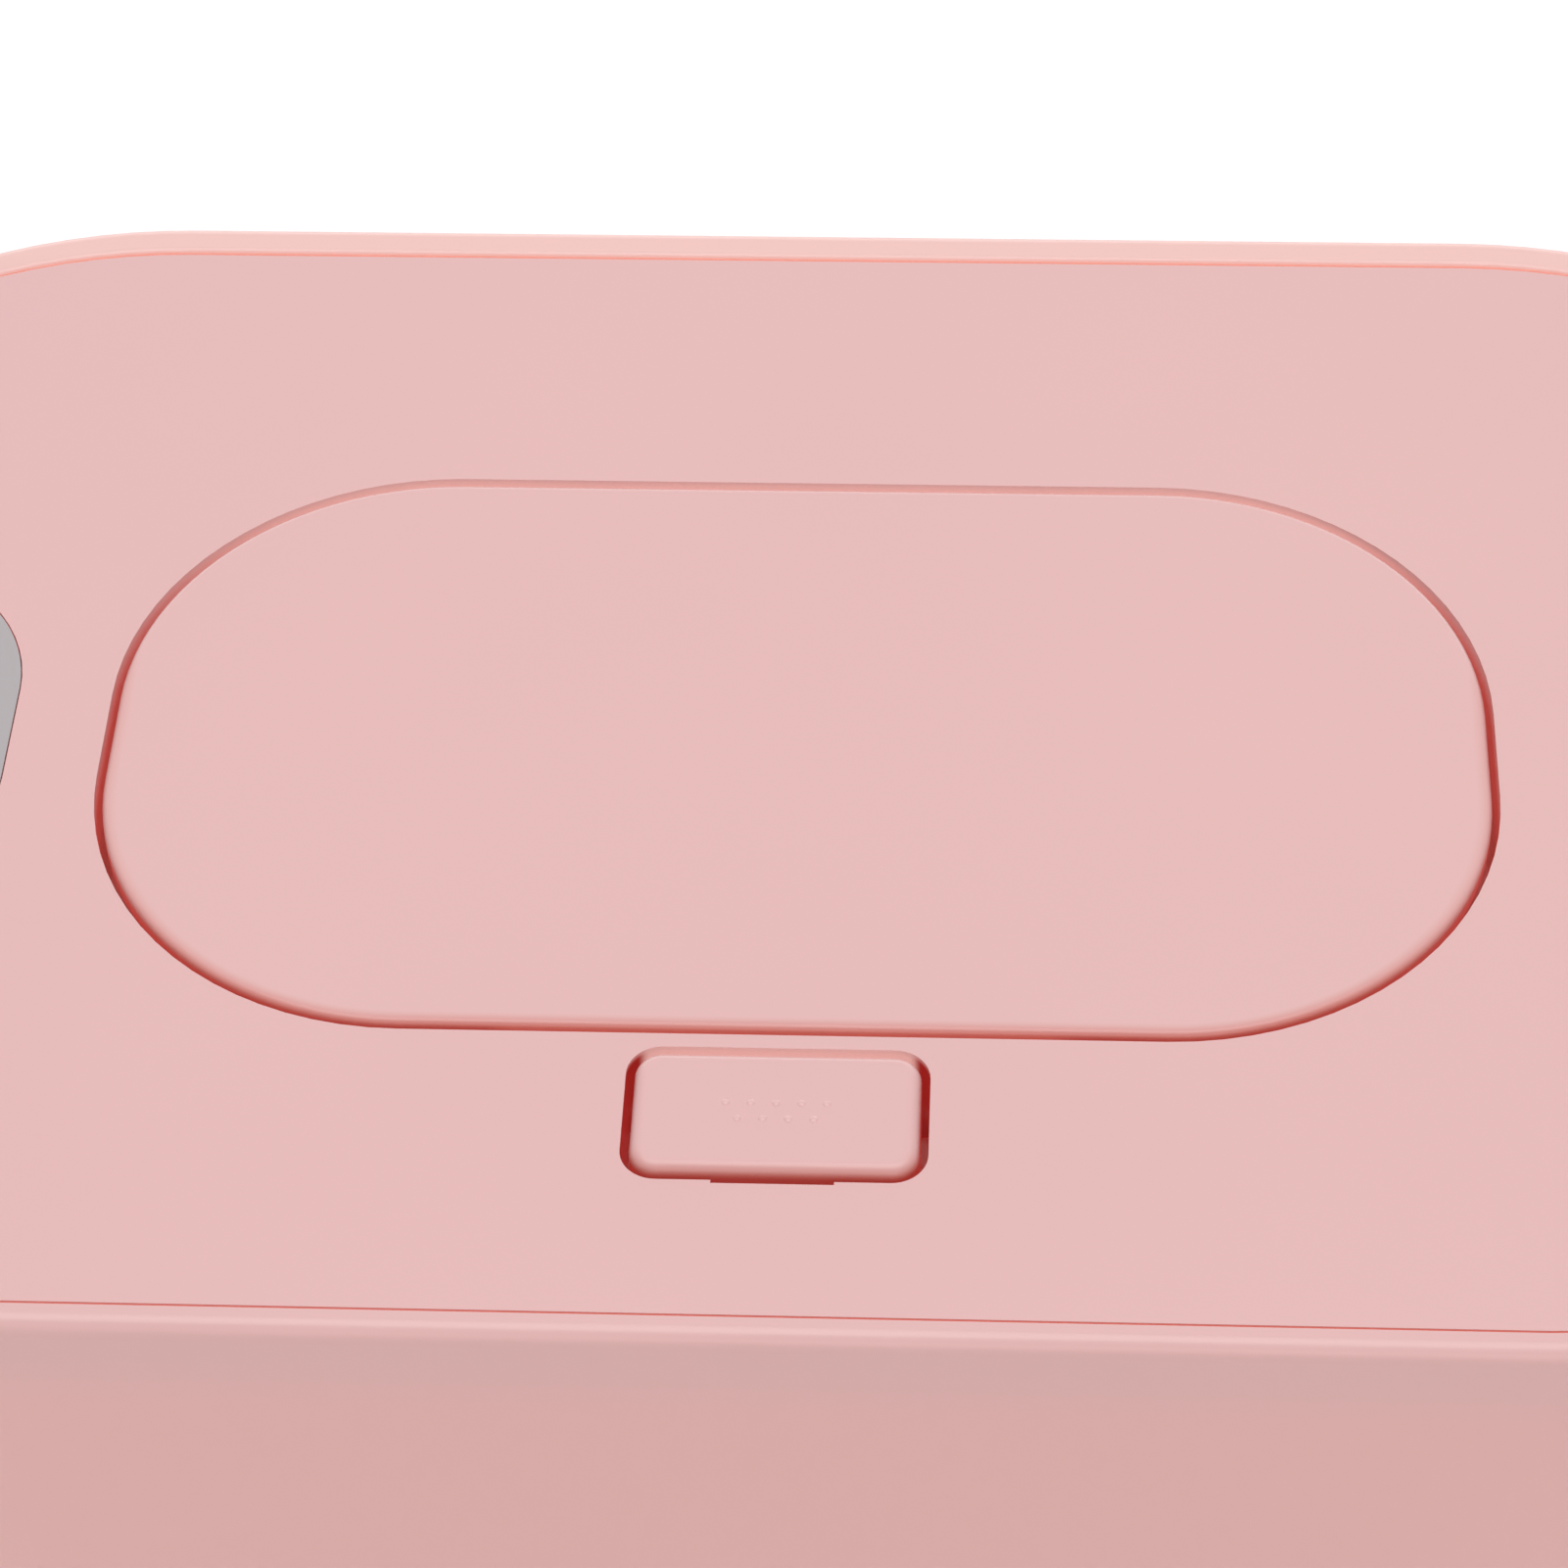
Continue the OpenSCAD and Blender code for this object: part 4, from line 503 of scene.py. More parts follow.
def close_recipe(shape, material):
    """Ends a tree: instances become real, and every face gets the material."""
    real = shape.add("GeometryNodeRealizeInstances", {"Geometry": shape})
    end = shape.tree.nodes.new("NodeGroupOutput")
    real.add("GeometryNodeSetMaterial", {"Geometry": real, "Material": material}).feed(end.inputs[0])


def made(name, tree, material, points, edges, **sizes):
    """Runs a tree on points and edges, and keeps what comes out as a plain mesh in one material."""
    base = bpy.data.meshes.new(name + "_Base")
    base.from_pydata(points, edges, [])
    piece = bpy.data.objects.new(name, base)
    scene.collection.objects.link(piece)
    modifier = piece.modifiers.new("Recipe", "NODES")
    modifier.node_group = tree
    for item in tree.interface.items_tree:
        if item.in_out == "INPUT" and item.name.replace(" ", "_") in sizes:
            modifier[item.identifier] = sizes[item.name.replace(" ", "_")]
    result = piece.evaluated_get(bpy.context.evaluated_depsgraph_get())
    plain = bpy.data.meshes.new_from_object(result)
    piece.modifiers.remove(modifier)
    plain.materials.clear()
    plain.materials.append(material)
    plain.polygons.foreach_set("material_index", [0] * len(plain.polygons))
    piece.data = plain
    return piece


seal_tree, given = recipe("Sealing_Ring", **dict.fromkeys((
    "Band_Inner", "Band_Outer", "Band_Depth", "Rib_Inner", "Rib_Outer", "Rib_Height", "Rounding",
    "Bead_Radius", "First_Bead", "Second_Bead"), "Float"))
path = given["Geometry"].add("GeometryNodeMeshToCurve", {"Mesh": given["Geometry"]})
path = path.add("GeometryNodeSetCurveNormal", {"Curve": path}, mode="Z_UP")


def spot(x, down):
    """Point of a seal's section: its distance out from the path and its depth under it."""
    return given["Rounding"].vector(x, down)


def rounded_square(spots, rounding, count):
    """Section through four corner points, with its corners rounded."""
    square = spots[0].add("GeometryNodeCurvePrimitiveQuadrilateral", {
        "Point %d" % (n + 1): spots[n] for n in range(4)}, mode="POINTS")
    return square.add("GeometryNodeFilletCurve", {"Curve": square, "Radius": rounding, "Count": count},
                      mode="POLY")


def band(inner, outer, top, bottom):
    """A strip with rounded edges, swept along the path."""
    corners = [spot(inner, top), spot(outer, top), spot(outer, bottom), spot(inner, bottom)]
    section = rounded_square(corners, given["Rounding"], 3)
    return path.add("GeometryNodeCurveToMesh", {"Curve": path, "Profile Curve": section})


def bead(place):
    """A round bead along the band's lower face."""
    loop = path.add("GeometryNodeCurvePrimitiveCircle", {"Resolution": 12, "Radius": given["Bead Radius"]})
    loop = loop.add("GeometryNodeTransform", {
        "Geometry": loop, "Translation": spot(place, given["Band Depth"])})
    return path.add("GeometryNodeCurveToMesh", {"Curve": path, "Profile Curve": loop})


close_recipe(path.add("GeometryNodeJoinGeometry", {0: [
    band(given["Band Inner"], given["Band Outer"], 0.0, given["Band Depth"]),
    band(given["Rib Inner"], given["Rib Outer"], given["Rib Height"] * -1.0, given["Rounding"]),
    bead(given["First Bead"]), bead(given["Second Bead"])]}), silicone_white)


def outline(width, depth, corner, middle_y, z, steps=24):
    """Points round a rectangle with round corners, anticlockwise."""
    found = []
    for quarter, (x, y) in enumerate(((1, 1), (-1, 1), (-1, -1), (1, -1))):
        for i in range(steps + 1):
            angle = pi / 2 * (quarter + i / steps)
            found.append((x * (width / 2 - corner) + corner * cos(angle),
                          middle_y + y * (depth / 2 - corner) + corner * sin(angle), z))
    return found


def loop_edges(points):
    return [(i, (i + 1) % len(points)) for i in range(len(points))]


low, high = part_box("lid_gasket")
SEAL_W, RIB = 0.004, 0.0016
tank_line = outline(high.x - low.x - 2 * SEAL_W, high.y - low.y - 2 * SEAL_W, 0.036, (low.y + high.y) / 2,
                    high.z - RIB)
lid_seal = made("Lid_Seal", seal_tree, silicone_white, tank_line, loop_edges(tank_line),
                Band_Inner=0.0, Band_Outer=SEAL_W, Band_Depth=0.00125, Rib_Inner=0.00135, Rib_Outer=0.00265,
                Rib_Height=RIB, Rounding=0.00025, Bead_Radius=0.00055, First_Bead=0.0009, Second_Bead=0.0027)
fit_on(lid_seal, "main_lid", "soft_silicone", "lid_gasket")

low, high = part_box("pop_lid_seal")
SKIRT_W, SKIRT_RIB = 0.0018, 0.0009
half_slot = (high.x - low.x - high.y + low.y) / 2
inner_reach = (high.y - low.y) / 2 - SKIRT_W
foot_line = [((low.x + high.x) / 2 + x + inner_reach * nx, (low.y + high.y) / 2 + y + inner_reach * ny,
              high.z - SKIRT_RIB) for x, y, nx, ny in stadium_points(half_slot, 144)]
flip_seal = made("Flip_Lid_Seal", seal_tree, silicone_white, foot_line, loop_edges(foot_line),
                 Band_Inner=0.0004, Band_Outer=0.0014, Band_Depth=high.z - low.z - 0.0017,
                 Rib_Inner=0.0, Rib_Outer=SKIRT_W, Rib_Height=SKIRT_RIB, Rounding=0.0003,
                 Bead_Radius=0.0008, First_Bead=0.0008, Second_Bead=0.0010)
fit_on(flip_seal, "flip_lid", "soft_silicone", "pop_lid_seal")

# Hinge pins and the button's spring: ground steel rod, pressed in, and drawn steel wire, faintly streaked.
# The spring has closed ends and sits between its carrier and the key.
drawn_steel = mottled("Drawn_Steel", (400.0,), (0.50, 0.50, 0.52), (0.62, 0.62, 0.64), (900.0, 0.15, 0.22),
                      metallic=1.0)
ground_steel = mottled("Ground_Steel", (1.0,), (0.60, 0.61, 0.63), (0.70, 0.71, 0.73), (300.0, 0.12, 0.18),
                       stretch=(40.0, 900.0, 900.0), metallic=1.0)
for name in ("hinge_pins", "pop_hinge_pin"):
    parts[name].data.materials[0] = ground_steel


def drawn_wire(line, sides):
    """Wire along a line, with closed ends, at the recipe's wire radius."""
    loop = line.add("GeometryNodeCurvePrimitiveCircle", {"Resolution": sides, "Radius": given["Wire Radius"]})
    return line.add("GeometryNodeCurveToMesh", {"Curve": line, "Profile Curve": loop, "Fill Caps": True})


coil_tree, given = recipe("Pressed_Coil", Wire_Radius="Float", Coil_Radius="Float", Turns="Float",
                          Low="Float", High="Float", Middle_Y="Float", Points="Int")
line = given["Turns"].add("GeometryNodeMeshLine", {"Count": given["Points"]})
line = line.add("GeometryNodeMeshToCurve", {"Mesh": line})
turned = line.add("GeometryNodeInputIndex") / (given["Points"] - 1.0) * given["Turns"]
closed_turn = given["Wire Radius"] * 2.2
open_height = given["High"] - given["Low"] - closed_turn * 2.0
first_turn = turned.sum("MINIMUM", turned, 1.0)
last_turn = turned - given["Turns"] + 1.0
last_turn = last_turn.sum("MAXIMUM", last_turn, 0.0)
middle_share = (turned - first_turn - last_turn) / (given["Turns"] - 2.0)
height = given["Low"] + closed_turn * (first_turn + last_turn) + open_height * middle_share
swing = turned * (2 * pi)
where = line.vector(swing.sum("COSINE", swing) * given["Coil Radius"],
                    swing.sum("SINE", swing) * given["Coil Radius"] + given["Middle Y"], height)
line = line.add("GeometryNodeSetPosition", {"Geometry": line, "Position": where})
close_recipe(drawn_wire(line, 10), drawn_steel)

low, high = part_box("button_spring")
SPRING_WIRE, PRESS_TRAVEL = 0.00025, 0.0018
press_spring = made("Button_Spring", coil_tree, drawn_steel, [(0, 0, 0)], [], Wire_Radius=SPRING_WIRE,
                    Coil_Radius=(high.x - low.x) / 2 - SPRING_WIRE, Turns=7.0, Low=low.z + SPRING_WIRE,
                    High=high.z - SPRING_WIRE, Middle_Y=(low.y + high.y) / 2, Points=169)
fit_on(press_spring, "main_lid", "spring_steel", "button_spring")
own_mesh(press_spring)

# Torsion spring of the flip lid: one steel wire wound on the pin. One end lies under the panel, the other
# behind the lid's arm.
wire_tree, given = recipe("Drawn_Wire", Wire_Radius="Float")
path = given["Geometry"].add("GeometryNodeMeshToCurve", {"Mesh": given["Geometry"]})
close_recipe(drawn_wire(path, 12), drawn_steel)


def line_edges(points):
    return [(i, i + 1) for i in range(len(points) - 1)]


pin_low, pin_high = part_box("pop_hinge_pin")
low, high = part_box("pop_spring")
LEG_WIRE = 0.00028
COIL_R = (pin_high.z - pin_low.z) / 2 + LEG_WIRE + 0.00025
COIL_TURNS, COIL_PITCH, TURN_STEPS = 9, 0.0009, 24
axis = (pin_low + pin_high) / 2
first_x = low.x + LEG_WIRE
last_x = first_x + COIL_PITCH * COIL_TURNS
coil = [(first_x + COIL_PITCH * turn, axis.y + COIL_R * cos(2 * pi * turn),
         axis.z - COIL_R * sin(2 * pi * turn))
        for turn in (i / TURN_STEPS for i in range(COIL_TURNS * TURN_STEPS + 1))]
leg_y = axis.y + 0.00223
spring_line = [
    (first_x, axis.y + 0.007, axis.z + 0.00017), (first_x, axis.y + 0.0032, axis.z + 0.0001), *coil,
    (last_x, axis.y + COIL_R + 0.0002, axis.z - 0.0010), (last_x, axis.y + COIL_R + 0.0004, axis.z - 0.0022),
    (last_x, leg_y - 0.0001, axis.z - 0.0042), (last_x + 0.0003, leg_y, axis.z - 0.0048),
    (last_x + 0.0012, leg_y, axis.z - 0.0050), (high.x, leg_y, axis.z - 0.0050)]
lid_spring = made("Flip_Lid_Spring", wire_tree, drawn_steel, spring_line, line_edges(spring_line),
                  Wire_Radius=LEG_WIRE)
fit_on(lid_spring, "main_lid", "spring_steel", "pop_spring")

# Internal leads: stranded wire in soft red and black insulation. Two run from the inlet round the heater to
# the board, two from the heating mat.
LEAD_R = 0.0006
CASING_AHEAD = 2.5
FLOOR_Z, LANE_X, LANE_Y, STEP, BEND, PLUG_END = 8.0, 73.0, 38.0, 2.6, 7.0, 11.4


def smooth_route(stops, steps=8):
    """Smooth line in metres, through stops in millimetres from the casing's middle, ahead of the frame's."""
    found = []
    for i in range(len(stops) - 1):
        a, b, c, d = (Vector(stops[min(max(k, 0), len(stops) - 1)]) for k in (i - 1, i, i + 1, i + 2))
        for s in range(steps):
            t = s / steps
            found.append(0.5 * (2 * b + (c - a) * t + (2 * a - 5 * b + 4 * c - d) * t * t
                                + (3 * b - a - 3 * c + d) * t * t * t))
    return [(p.x / 1000, (p.y - CASING_AHEAD) / 1000, p.z / 1000) for p in found + [Vector(stops[-1])]]


low_tag = smooth_route([
    (32, 53.9, 10.8), (32, 51.9, 10.8), (32.4, 49.1, 10.3), (36, LANE_Y + STEP + 1.4, FLOOR_Z + 1),
    (46, LANE_Y + STEP, FLOOR_Z), (LANE_X - BEND, LANE_Y + STEP, FLOOR_Z),
    (LANE_X + STEP, LANE_Y - BEND, FLOOR_Z), (LANE_X + STEP, 0, FLOOR_Z),
    (LANE_X + STEP, BEND - LANE_Y, FLOOR_Z), (LANE_X - BEND, -LANE_Y - STEP, FLOOR_Z),
    (30, -LANE_Y - STEP, FLOOR_Z + 0.4), (15, -LANE_Y - STEP - 1, PLUG_END - 0.9), (14, -44.3, PLUG_END),
    (14, -46.3, PLUG_END)])
high_tag = smooth_route([
    (32, 53.9, 16.0), (32, 51.9, 16.0), (32.2, 49.1, 15.0), (34, LANE_Y + 4, FLOOR_Z + 3),
    (42, LANE_Y, FLOOR_Z), (LANE_X - BEND, LANE_Y, FLOOR_Z), (LANE_X, LANE_Y - BEND - 1, FLOOR_Z),
    (LANE_X, 0, FLOOR_Z),
    (LANE_X, BEND + 1 - LANE_Y, FLOOR_Z), (LANE_X - BEND, -LANE_Y, FLOOR_Z), (28, -LANE_Y, FLOOR_Z + 0.4),
    (12.5, -LANE_Y - 2, PLUG_END - 0.9), (11, -44.3, PLUG_END), (11, -46.3, PLUG_END)])
mat_leads = [smooth_route([(x, -33, 16.2), (x, -37, 16.0), (x, -41, 14.1), (x, -44.8, PLUG_END),
                           (x, -46.3, PLUG_END)]) for x in (-14, -11)]
for name, lines, tint, dark, pale in (
        ("Red_Leads", (high_tag, mat_leads[1]), "Red_Insulation", (0.42, 0.012, 0.010), (0.50, 0.020, 0.016)),
        ("Black_Leads", (low_tag, mat_leads[0]), "Black_Insulation", (0.012, 0.012, 0.013),
         (0.022, 0.022, 0.024))):
    insulation = mottled(tint, (220.0,), dark, pale, (500.0, 0.15, 0.34), (2500.0, 1.0, 0.2, 0.00005),
                         ior=1.5)
    points = [point for line in lines for point in line]
    edges = line_edges(lines[0]) + [(a + len(lines[0]), b + len(lines[0])) for a, b in line_edges(lines[1])]
    leads = made(name, wire_tree, insulation, points, edges, Wire_Radius=LEAD_R)
    fit_on(leads, "casing", "wire_insulation", "lead_wires")

# Screws: zinc-plated thread-forming pan heads with a cross recess, one recipe for all four sizes. Each is
# driven to its own angle.
FULL_TURN = 6.2832
zinc = mottled("Zinc_Plate", (260.0, 3.0), (0.52, 0.53, 0.55), (0.66, 0.67, 0.70), (500.0, 0.18, 0.24),
               (1600.0, 2.0, 0.12, 0.00005), metallic=1.0)
screw_tree, given = recipe("Pan_Head_Screw", Head_Radius="Float", Head_Height="Float", Shank_Radius="Float",
                           Shank_Length="Float", Thread_Pitch="Float", Upside_Down="Float", Turn_Seed="Int")
head_r, head_h, shank_r, shank_l = (
    given[name] for name in ("Head Radius", "Head Height", "Shank Radius", "Shank Length"))


def at_height(shape, z):
    return shape.add("GeometryNodeTransform", {"Geometry": shape, "Translation": shape.vector(z=z)})


dome = given["Geometry"].add("GeometryNodeMeshUVSphere", {"Segments": 32, "Rings": 16, "Radius": 1.0})
dome = dome.add("GeometryNodeTransform", {
    "Geometry": dome, "Scale": dome.vector(head_r, head_r, head_h * 1.35)})
where = dome.add("GeometryNodeInputPosition")
flat = where.axis(2).sum("MAXIMUM", where.axis(2), head_h * -1.0).sum("MINIMUM", where.axis(2), 0.0)
dome = dome.add("GeometryNodeSetPosition", {
    "Geometry": dome, "Position": where.vector(where.axis(0), where.axis(1), flat)})
head = at_height(dome, head_h)
slot_long, slot_wide, slot_deep = head_r * 1.1, head_r * 0.24, head_h * 0.9
recess = []
for along, aside in ((slot_long, slot_wide), (slot_wide, slot_long)):
    recess.append(head.add("GeometryNodeMeshCube", {"Size": head.vector(along, aside, slot_deep)}))
head = head.add("GeometryNodeMeshBoolean", {"Mesh 1": head, "Mesh 2": recess, "Self Intersection": True},
                operation="DIFFERENCE", solver="EXACT")
straight_l = shank_l - shank_r
shank = head.add("GeometryNodeMeshCylinder", {
    "Vertices": 20, "Radius": shank_r * 0.86, "Depth": straight_l})
shank = shank.add("GeometryNodeSetShadeSmooth", {"Geometry": shank})
shank = at_height(shank, head_h + straight_l / 2)
tip_l = shank_r * 1.05
tip = head.add("GeometryNodeMeshCone", {
    "Vertices": 20, "Radius Top": shank_r * 0.3, "Radius Bottom": shank_r * 0.84, "Depth": tip_l})
tip = at_height(tip, head_h + shank_l - tip_l)
turns = straight_l / given["Thread Pitch"]
thread_line = head.add("GeometryNodeCurveSpiral", {
    "Resolution": 20, "Rotations": turns, "Start Radius": shank_r * 0.80, "End Radius": shank_r * 0.80,
    "Height": shank_l - shank_r * 1.15})
ridge = head.add("GeometryNodeCurvePrimitiveCircle", {"Resolution": 4, "Radius": shank_r * 0.19})
thread = thread_line.add("GeometryNodeCurveToMesh", {
    "Curve": thread_line, "Profile Curve": ridge, "Fill Caps": True})
thread = at_height(thread, head_h)
one_screw = head.add("GeometryNodeJoinGeometry", {0: [head, shank, tip, thread]})
spin = head.add("FunctionNodeRandomValue", {
    "Min": 0.0, "Max": FULL_TURN, "Seed": given["Turn Seed"], "ID": head.add("GeometryNodeInputIndex")},
    out=1, data_type="FLOAT")
stand = head.vector(given["Upside Down"] * pi, 0.0, spin)
close_recipe(head.add("GeometryNodeInstanceOnPoints", {
    "Points": given["Geometry"], "Instance": one_screw, "Rotation": stand}), zinc)


def islands(node):
    """Low and high corner of each loose solid of a CAD node."""
    work = bmesh.new()
    work.from_mesh(parts[node].data)
    bmesh.ops.remove_doubles(work, verts=work.verts, dist=1e-6)
    seen, found = set(), []
    for start in work.verts:
        if start in seen:
            continue
        seen.add(start)
        queue, solid = [start], []
        while queue:
            vertex = queue.pop()
            solid.append(vertex.co.copy())
            for neighbour in (edge.other_vert(vertex) for edge in vertex.link_edges):
                if neighbour not in seen:
                    seen.add(neighbour)
                    queue.append(neighbour)
        found.append((Vector([min(p[n] for p in solid) for n in range(3)]),
                      Vector([max(p[n] for p in solid) for n in range(3)])))
    work.free()
    return found


for seed, (name, node, body, head_height, shank_radius, pitch, down) in enumerate((
        ("Base_Screws", "base_screws", "casing", 0.0016, 0.00145, 0.0011, 0),
        ("Liner_Screws", "liner_screws", "main_lid", 0.0016, 0.0010, 0.0008, 0),
        ("Bracket_Screws", "bracket_screws", "main_lid", 0.0012, 0.0010, 0.0008, 0),
        ("Board_Screws", "board_screws", "casing", 0.0012, 0.00085, 0.0007, 1))):
    corners = islands(node)
    low, high = corners[0]
    points = [((a.x + b.x) / 2, (a.y + b.y) / 2, b.z if down else a.z) for a, b in corners]
    screws = made(name, screw_tree, zinc, points, [], Head_Radius=(high.x - low.x) / 2 - 0.00002,
                  Head_Height=head_height, Shank_Radius=shank_radius,
                  Shank_Length=high.z - low.z - head_height, Thread_Pitch=pitch, Upside_Down=float(down),
                  Turn_Seed=seed)
    fit_on(screws, body, "screw_steel", node, sharp=30)

# Feet: soft rubber pads pressed into the base, each with a rounded tread and two grip rings round a dished
# middle.
foot_rubber = mottled("Foot_Rubber", (70.0, 3.0), (0.10, 0.098, 0.096), (0.14, 0.137, 0.134),
                      (300.0, 0.15, 0.68), (1400.0, 3.0, 0.4, 0.00008), ior=1.5)
foot_tree, given = recipe("Grip_Foot", Foot_Radius="Float", Foot_Height="Float", Tread_Width="Float",
                          Dish="Float")
upright = given["Geometry"]


def ring_of(radius, width, low, high, rounding):
    """Upright ring with rounded edges, from one radius inwards."""
    loop = upright.add("GeometryNodeCurvePrimitiveCircle", {"Resolution": 64, "Radius": radius})
    loop = loop.add("GeometryNodeSetCurveNormal", {"Curve": loop}, mode="Z_UP")
    corners = [upright.vector(x, y * -1.0) for x, y in (
        (width * -1.0, high), (0.0, high), (0.0, low), (width * -1.0, low))]
    section = rounded_square(corners, rounding, 4)
    return loop.add("GeometryNodeCurveToMesh", {"Curve": loop, "Profile Curve": section})


foot_r, foot_h, tread = given["Foot Radius"], given["Foot Height"], given["Tread Width"]
dish_h = foot_h - given["Dish"] * 2.0
disc = upright.add("GeometryNodeMeshCylinder", {
    "Vertices": 64, "Radius": foot_r - tread * 0.5, "Depth": dish_h})
disc = at_height(disc, given["Dish"] * 1.4 + dish_h / 2)
grips = [ring_of(foot_r * share, tread * 0.36, given["Dish"] * 0.5, given["Dish"] * 2.0, tread * 0.09)
         for share in (0.56, 0.30)]
whole = upright.add("GeometryNodeJoinGeometry", {0: [
    ring_of(foot_r, tread, 0.0, foot_h, tread * 0.26), disc, *grips]})
close_recipe(upright.add("GeometryNodeInstanceOnPoints", {"Points": given["Geometry"], "Instance": whole}),
             foot_rubber)
corners = islands("rubber_feet")
low, high = corners[0]
points = [((a.x + b.x) / 2, (a.y + b.y) / 2, a.z) for a, b in corners]
feet = made("Grip_Feet", foot_tree, foot_rubber, points, [], Foot_Radius=(high.y - low.y) / 2,
            Foot_Height=high.z - low.z, Tread_Width=0.0022, Dish=0.0004)
fit_on(feet, "casing", "grey_rubber", "rubber_feet")


# Heating mat: two sheets of silicone rubber on glass cloth, pressed together round the foil so that the weave
# shows. It lies under the heat spreader.
def slab_rings(low, high, corner, soft, inner=(0.02, 0.3, 0.6, 0.85), steps=10):
    """Rings of a flat slab with rounded corners and softened edges, from its top's middle to its bottom's."""
    middle_x, middle_y = (low.x + high.x) / 2, (low.y + high.y) / 2
    width, depth = high.x - low.x, high.y - low.y

    def ring(inset, z, share=1.0):
        points = outline(width - 2 * inset, depth - 2 * inset, corner - inset, 0, z, steps)
        return [(middle_x + x * share, middle_y + y * share, z) for x, y, _ in points]

    edge = [(soft * (1 - sin(pi / 8 * k)), soft * (1 - cos(pi / 8 * k))) for k in range(5)]
    top = [ring(soft, high.z, share) for share in inner]
    sides = [ring(inset, high.z - down) for inset, down in edge]
    under = [ring(inset, low.z + up) for inset, up in reversed(edge)]
    return top + sides + under + [ring(soft, low.z, share) for share in reversed(inner)]


mat_rubber, sockets, place = finish("Mat_Silicone", ior=1.42)
warp, weft = (place.add("ShaderNodeTexWave", {"Vector": place, "Scale": 380.0}, bands_direction=way, out=1)
              for way in "XY")
weave = warp + weft
(weave * 0.5).blend(colour(0.33, 0.055, 0.030), colour(0.42, 0.075, 0.042)).feed(sockets["Base Color"])
gloss(sockets, place, 200.0, 0.12, 0.45)
relief(sockets, weave, 0.35, 0.0001)
low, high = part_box("heater_mat")
fit_on(skin("Heating_Mat", slab_rings(low, high, 0.006, 0.0005), mat_rubber), "casing", "heater_silicone",
       "heater_mat")

# Foil in the mat: copper-nickel, rolled thin and etched to one long track. It is dull, with fine rolling
# marks.
parts["heater_trace"].data.materials[0] = mottled(
    "Heater_Foil", (6.0,), (0.44, 0.34, 0.27), (0.58, 0.46, 0.37), (180.0, 0.15, 0.34),
    stretch=(4.0, 160.0, 1.0), metallic=1.0)

# Heat spreader: rolled aluminium sheet, cut out with its grain along the length. It lies between the tank's
# floor and the mat.
rolled, sockets, place = finish("Rolled_Aluminium", metallic=1.0)
grain = place.stretch(6.0, 500.0, 500.0).noise(1.0, 3.0)
grain.blend(colour(0.66, 0.67, 0.68), colour(0.78, 0.79, 0.80)).feed(sockets["Base Color"])
(grain * 0.18 + 0.26).feed(sockets["Roughness"])
relief(sockets, grain, 0.15, 0.00004)
parts["heat_plate"].data.materials[0] = rolled

# Insulation: needled felt, cut to the spreader's outline and lightly pressed under the mat. Its faces are
# fluffy.
felt, sockets, place = finish("Needled_Felt", roughness=0.95, sheen_weight=0.4, sheen_roughness=0.5)
fibres = place.stretch(1.0, 5.0, 1.0).noise(420.0, 4.0, 0.65) * 0.5 + place.stretch(5.0, 1.0, 1.0).noise(
    420.0, 4.0, 0.65) * 0.5
fibres.ramp(0.35, 0.65).blend(colour(0.34, 0.33, 0.31), colour(0.60, 0.585, 0.55)).feed(sockets["Base Color"])
relief(sockets, fibres, 0.8, 0.0004)
low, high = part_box("insulation_pad")
felt_shares = [0.02 + 0.0605 * n for n in range(17)]
felt_pad = skin("Felt_Pad", slab_rings(low, high, 0.008, 0.0009, felt_shares, 30), felt)
work = bmesh.new()
work.from_mesh(felt_pad.data)
for vertex in work.verts:
    x, y = vertex.co.xy
    ripple = sin(x * 310) * cos(y * 270) + 0.6 * sin(x * 730 + y * 810)
    if low.z + 0.0008 < vertex.co.z < high.z - 0.0008:
        vertex.co.xy -= (vertex.co.xy - (low.xy + high.xy) / 2).normalized() * 0.00012 * (1.6 + ripple)
    else:
        vertex.co.z += (0.00006 if vertex.co.z < 0.5 * (low.z + high.z) else -0.00006) * (1.6 + ripple)
work.to_mesh(felt_pad.data)
work.free()
fit_on(felt_pad, "casing", "felt", "insulation_pad", sharp=60)

# Control board: green laminate with etched copper tracks under its varnish, screwed down to posts in the
# base.
laminate, sockets, place = finish("Board_Laminate", ior=1.5, coat_weight=0.6, coat_roughness=0.2)
cell = place.add("ShaderNodeTexVoronoi", {"Vector": place.stretch(260.0, 520.0, 1.0), "Scale": 1.0},
                 distance="CHEBYCHEV")
tracks = 1.0 - abs(cell - 0.38).ramp(0.03, 0.06)
tracks.blend(colour(0.010, 0.085, 0.030), colour(0.022, 0.165, 0.060)).feed(sockets["Base Color"])
(tracks * 0.08 + 0.32).feed(sockets["Roughness"])
relief(sockets, tracks, 0.3, 0.00005)
parts["control_board"].data.materials[0] = laminate

# Parts on the board: a controller chip with eight gull-wing legs, two capacitors, and two lead plugs with
# ribbed housings, all soldered down.
moulded_black = mottled("Moulded_Black", (160.0, 3.0), (0.014, 0.014, 0.015), (0.026, 0.026, 0.028),
                        (400.0, 0.14, 0.38), (1700.0, 2.0, 0.25, 0.00006), ior=1.5)
tinned = mottled("Tinned_Brass", (300.0,), (0.58, 0.57, 0.52), (0.72, 0.71, 0.66), (600.0, 0.15, 0.22),
                 metallic=1.0)


